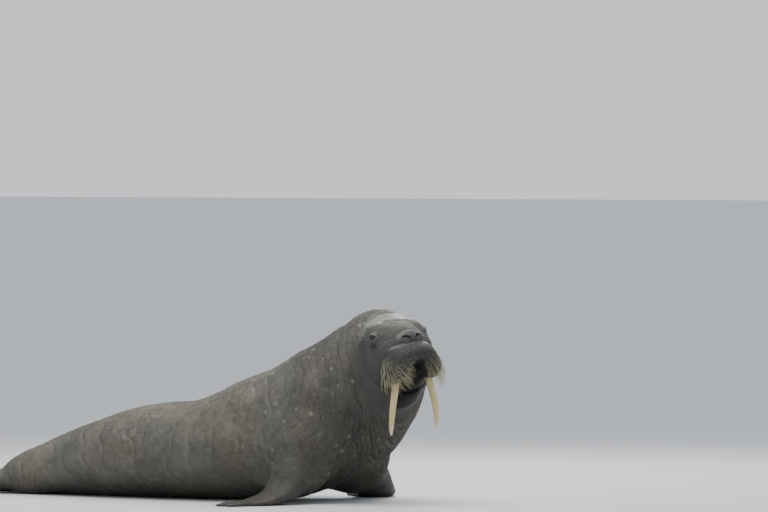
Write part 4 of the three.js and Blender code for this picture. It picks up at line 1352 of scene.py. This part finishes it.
def add_eyes():
    """Dark wet balls, each with a brown ring round a black pupil"""
    made = Nodes("eye")
    made.link(made.tint().outputs["Color"], made.shader.inputs["Base Color"])
    made.set(Roughness=0.07, IOR=1.38, Coat_Weight=0.6, Coat_Roughness=0.03)
    polar = np.linspace(0, np.pi, EYE_RINGS + 1)[1:-1]
    k = np.arange(EYE_SIDES)
    following = (k + 1) % EYE_SIDES
    angle = k * 2 * np.pi / EYE_SIDES
    flat = np.sin(polar)[:, None]
    ball = (
        np.cos(polar)[:, None, None] * EYE_OUT
        + (flat * np.cos(angle))[..., None] * EYE_SIDE
        + (flat * np.sin(angle))[..., None] * HEAD_UP
    ).reshape(-1, 3)
    ball = np.vstack([[EYE_OUT], ball, [-EYE_OUT]])
    bulge = 1 + EYE_BULGE * smooth(0.8, 0.97, ball @ EYE_OUT)
    faces = []
    for ring in range(EYE_RINGS - 2):
        start = 1 + ring * EYE_SIDES
        faces += ring_strip(start + k, start + following, EYE_SIDES)
    last = 1 + (EYE_RINGS - 2) * EYE_SIDES
    faces += [np.column_stack([np.zeros(EYE_SIDES, int), 1 + following, 1 + k])]
    faces += [np.column_stack([last + k, last + following, np.full(EYE_SIDES, len(ball) - 1)])]
    faces = np.vstack(faces)
    # The pupil, the iris and its edge, by degrees from the front
    away = np.degrees(np.arccos(np.clip(ball @ EYE_OUT, -1, 1)))
    iris = IRIS * (1 + 0.3 * noise(ball * 17, 2.5, 71))[:, None]
    colour = iris + (IRIS_EDGE - iris) * smooth(41, 48, away)[:, None]
    colour = colour * (1 - 0.93 * smooth(21, 17, away))[:, None]
    for name, side in (("left", 1), ("right", -1)):
        points = from_head((EYE_AT + ball * EYE_RADIUS * EYE_FILLS * bulge[:, None]) * [1, side, 1])
        eye = new_mesh("eye_ball_" + name, points, faces[:, ::-1] if side > 0 else faces)
        set_tone(eye, colour, np.ones(len(points)))
        eye.data.materials.append(made.material)
        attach(eye, "root")
        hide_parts("eye_" + name)


add_eyes()


# How far along its digit a claw sits, and its length on each kind of flipper, its steps, sides and radius
CLAW_PLACE = 0.86
CLAW_LENGTHS = {"fore": 24.0, "hind": 30.0}
CLAW_STEPS, CLAW_SIDES, CLAW_RADIUS = 7, 10, 4.4


def add_claws():
    made = plain_material("claw", (0.07, 0.055, 0.045), 0.4)
    shares = np.linspace(0, 1, CLAW_STEPS)
    for fan_name, flipper in (("fore", fore), ("hind", hind)):
        long = CLAW_LENGTHS[fan_name]
        for side_name, side in (("left", 1), ("right", -1)):
            paths, radii = [], []
            for start, end, wide in flipper.digits:
                way = unit(end - start)
                high = wide * DIGIT_THICK * (1 - DIGIT_THINS * CLAW_PLACE) * (1 + DIGIT_RAISED)
                base = start + (end - start) * CLAW_PLACE - way * long * 0.5
                path = base + way * (long * shares)[:, None]
                height = np.maximum(high - 3.2 + 4.2 * np.sin(shares * 2.2) - 3.4 * shares, 5.0)
                paths.append(np.column_stack([path[:, 0], path[:, 1] * side, height]))
                radii.append(CLAW_RADIUS * np.sqrt(np.maximum(1 - shares**2.4, 0.02)))
            points, faces = tube(np.array(paths), np.array(radii), CLAW_SIDES)
            claws = new_mesh(f"claws_{fan_name}_{side_name}", points, faces)
            claws.data.materials.append(made)
            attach(claws, "root")


add_claws()


def lie_of_coat(hide, normals):
    """The way the short hair lies: back along the trunk and head, and out along the flippers"""
    from_nose = turn_from_head(unit(hide.head * [1, 0.7, 0.4] - [150, 0, -60]))
    way = -hide.axis * (1 - hide.on_head)[:, None] + from_nose * hide.on_head[:, None]
    outwards = np.tile([-0.5, 1.0, -0.3], (len(way), 1))
    outwards[:, 1] *= np.sign(hide.points[:, 1])
    way = way * (1 - hide.flipper)[:, None] + outwards * hide.flipper[:, None]
    way[:, 2] -= 0.15
    return unit(way - (way * normals).sum(1)[:, None] * normals)


COAT_PIECES, COAT_EACH = 3, 60000
# Tufts: least and most length, rise from the skin in degrees, half width and shade
TUFT_LENGTHS, TUFT_RISES, TUFT_HALVES, TUFT_SHADES = (9, 16), (3, 11), (0.3, 0.55), (0.75, 1.45)
# How far the way that a tuft lies varies from its neighbours'
TUFT_TURNS = 0.12
TUFT_TINT = np.array([0.008, 0.006, 0.003])
TUFT_SUNK, TUFT_THICK = 0.5, 0.8
TUFT_FACES = np.array([[0, 1, 3], [1, 2, 3], [2, 0, 3]])
# Where a tuft's four corners lie round its own place in the flat map
TUFT_FLAT = np.array([[-1, -1], [1, -1], [0, 1], [1, 1]]) * 0.0015


def add_coat(pieces, each):
    """Short flat-lying hair in thin tufts, thickest on the trunk and neck"""
    random = np.random.default_rng(RANDOM_SEED + 1)
    a, b, c = (skin_points[skin_faces[:, k]] for k in range(3))
    area = np.linalg.norm(np.cross(b - a, c - a), axis=1) / 2
    hide = skin_hide
    bare = np.maximum.reduce([hide.pad, hide.jaw, hide.mouth, smooth(46, 30, hide.eye), 0.7 * hide.flipper])
    high = smooth(2, 20, hide.points[:, 2])
    density = ((1 - bare) * (1 - 0.7 * hide.on_head) * high)[skin_faces[:, 0]] * area
    chance = np.cumsum(density) / density.sum()
    for number in range(pieces):
        pick = np.searchsorted(chance, random.random(each))
        u, v = random.random((2, each))
        turn = u + v > 1
        u, v = np.where(turn, 1 - u, u), np.where(turn, 1 - v, v)
        f = skin_faces[pick]
        weights = np.column_stack([1 - u - v, u, v])[..., None]
        root = (skin_points[f] * weights).sum(1)
        normal = unit((skin_normals[f] * weights).sum(1))
        own = Hide(root)
        way = lie_of_coat(own, normal)
        across = np.cross(normal, way)
        turn = (random.normal(0, TUFT_TURNS, each) + 0.3 * noise(root, 45, 91))[:, None]
        way = way * np.cos(turn) + across * np.sin(turn)
        across = np.cross(normal, way)
        rise = np.radians(random.uniform(*TUFT_RISES, each))[:, None]
        long = random.uniform(*TUFT_LENGTHS, each) * (1 - 0.5 * own.on_head) * (1 - 0.45 * own.flipper)
        tip = root + long[:, None] * (way * np.cos(rise) + normal * np.sin(rise))
        beside = across * random.uniform(*TUFT_HALVES, each)[:, None]
        sunk = root - normal * TUFT_SUNK
        points = np.stack([sunk - beside, sunk + beside, sunk + normal * TUFT_THICK, tip], 1).reshape(-1, 3)
        faces = (TUFT_FACES + (np.arange(each) * 4)[:, None, None]).reshape(-1, 3)
        tufts = new_mesh(f"coat_{number + 1}", inside_box(points), faces)
        # Tufts are lit like the skin under them
        tufts.data.normals_split_custom_set_from_vertices(np.repeat(normal, 4, 0).tolist())
        colour, wet = tone(own)
        colour = colour * random.uniform(*TUFT_SHADES, each)[:, None] + TUFT_TINT
        set_tone(tufts, np.repeat(np.clip(colour, 0, 1), 4, 0), np.repeat(wet, 4))
        place = np.column_stack([own.run / (trunk.run[-1] * 1.02), own.round / (2 * np.pi) + 0.5])
        flat = (place[:, None] * 0.98 + 0.01 + TUFT_FLAT).reshape(-1, 2)
        layer = tufts.data.uv_layers.new(name="OFBake")
        layer.data.foreach_set("uv", flat[faces.ravel()].astype(np.float32).ravel())
        tufts.data.materials.append(coat_hide)
        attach(tufts, "root")


coat_hide = hide_material("coat_hide", True)
add_coat(COAT_PIECES, COAT_EACH)


FLOOR_HALF, FLOOR_DROP = 150000.0, 0.0005
FLOOR_COLOUR, AIR_COLOUR = (0.62, 0.63, 0.64), (0.86, 0.9, 0.95, 1)
# Wide soft lamps: name, place in metres and power, all aimed at one point
LAMPS = [("overhead", (0.2, -0.9, 5.5), 215.0), ("far_side", (-0.8, 4.4, 4.4), 230.0)]
LAMP_SIZE, LAMPS_AIM = 4.0, (0.2, 0, 0.5)


def add_stage():
    """A pale floor out to the horizon, soft light all round and two wide soft lamps"""
    corners = np.array([[-1, -1, 0], [1, -1, 0], [1, 1, 0], [-1, 1, 0]]) * FLOOR_HALF
    floor = new_mesh("floor", corners, np.array([[0, 1, 2, 3]]))
    floor.data.materials.append(plain_material("floor", FLOOR_COLOUR, 0.85))
    floor.location.z = -FLOOR_DROP
    world = bpy.data.worlds.new("world")
    world.use_nodes = True
    air = world.node_tree.nodes["Background"].inputs
    air["Color"].default_value = AIR_COLOUR
    air["Strength"].default_value = 1.0
    bpy.context.scene.world = world
    for name, at, power in LAMPS:
        data = bpy.data.lights.new(name, "AREA")
        data.shape = "DISK"
        data.size = LAMP_SIZE
        data.energy = power
        light = bpy.data.objects.new(name, data)
        light.location = at
        light.rotation_euler = (Vector(LAMPS_AIM) - Vector(at)).to_track_quat("-Z", "Y").to_euler()
        bpy.context.scene.collection.objects.link(light)


add_stage()
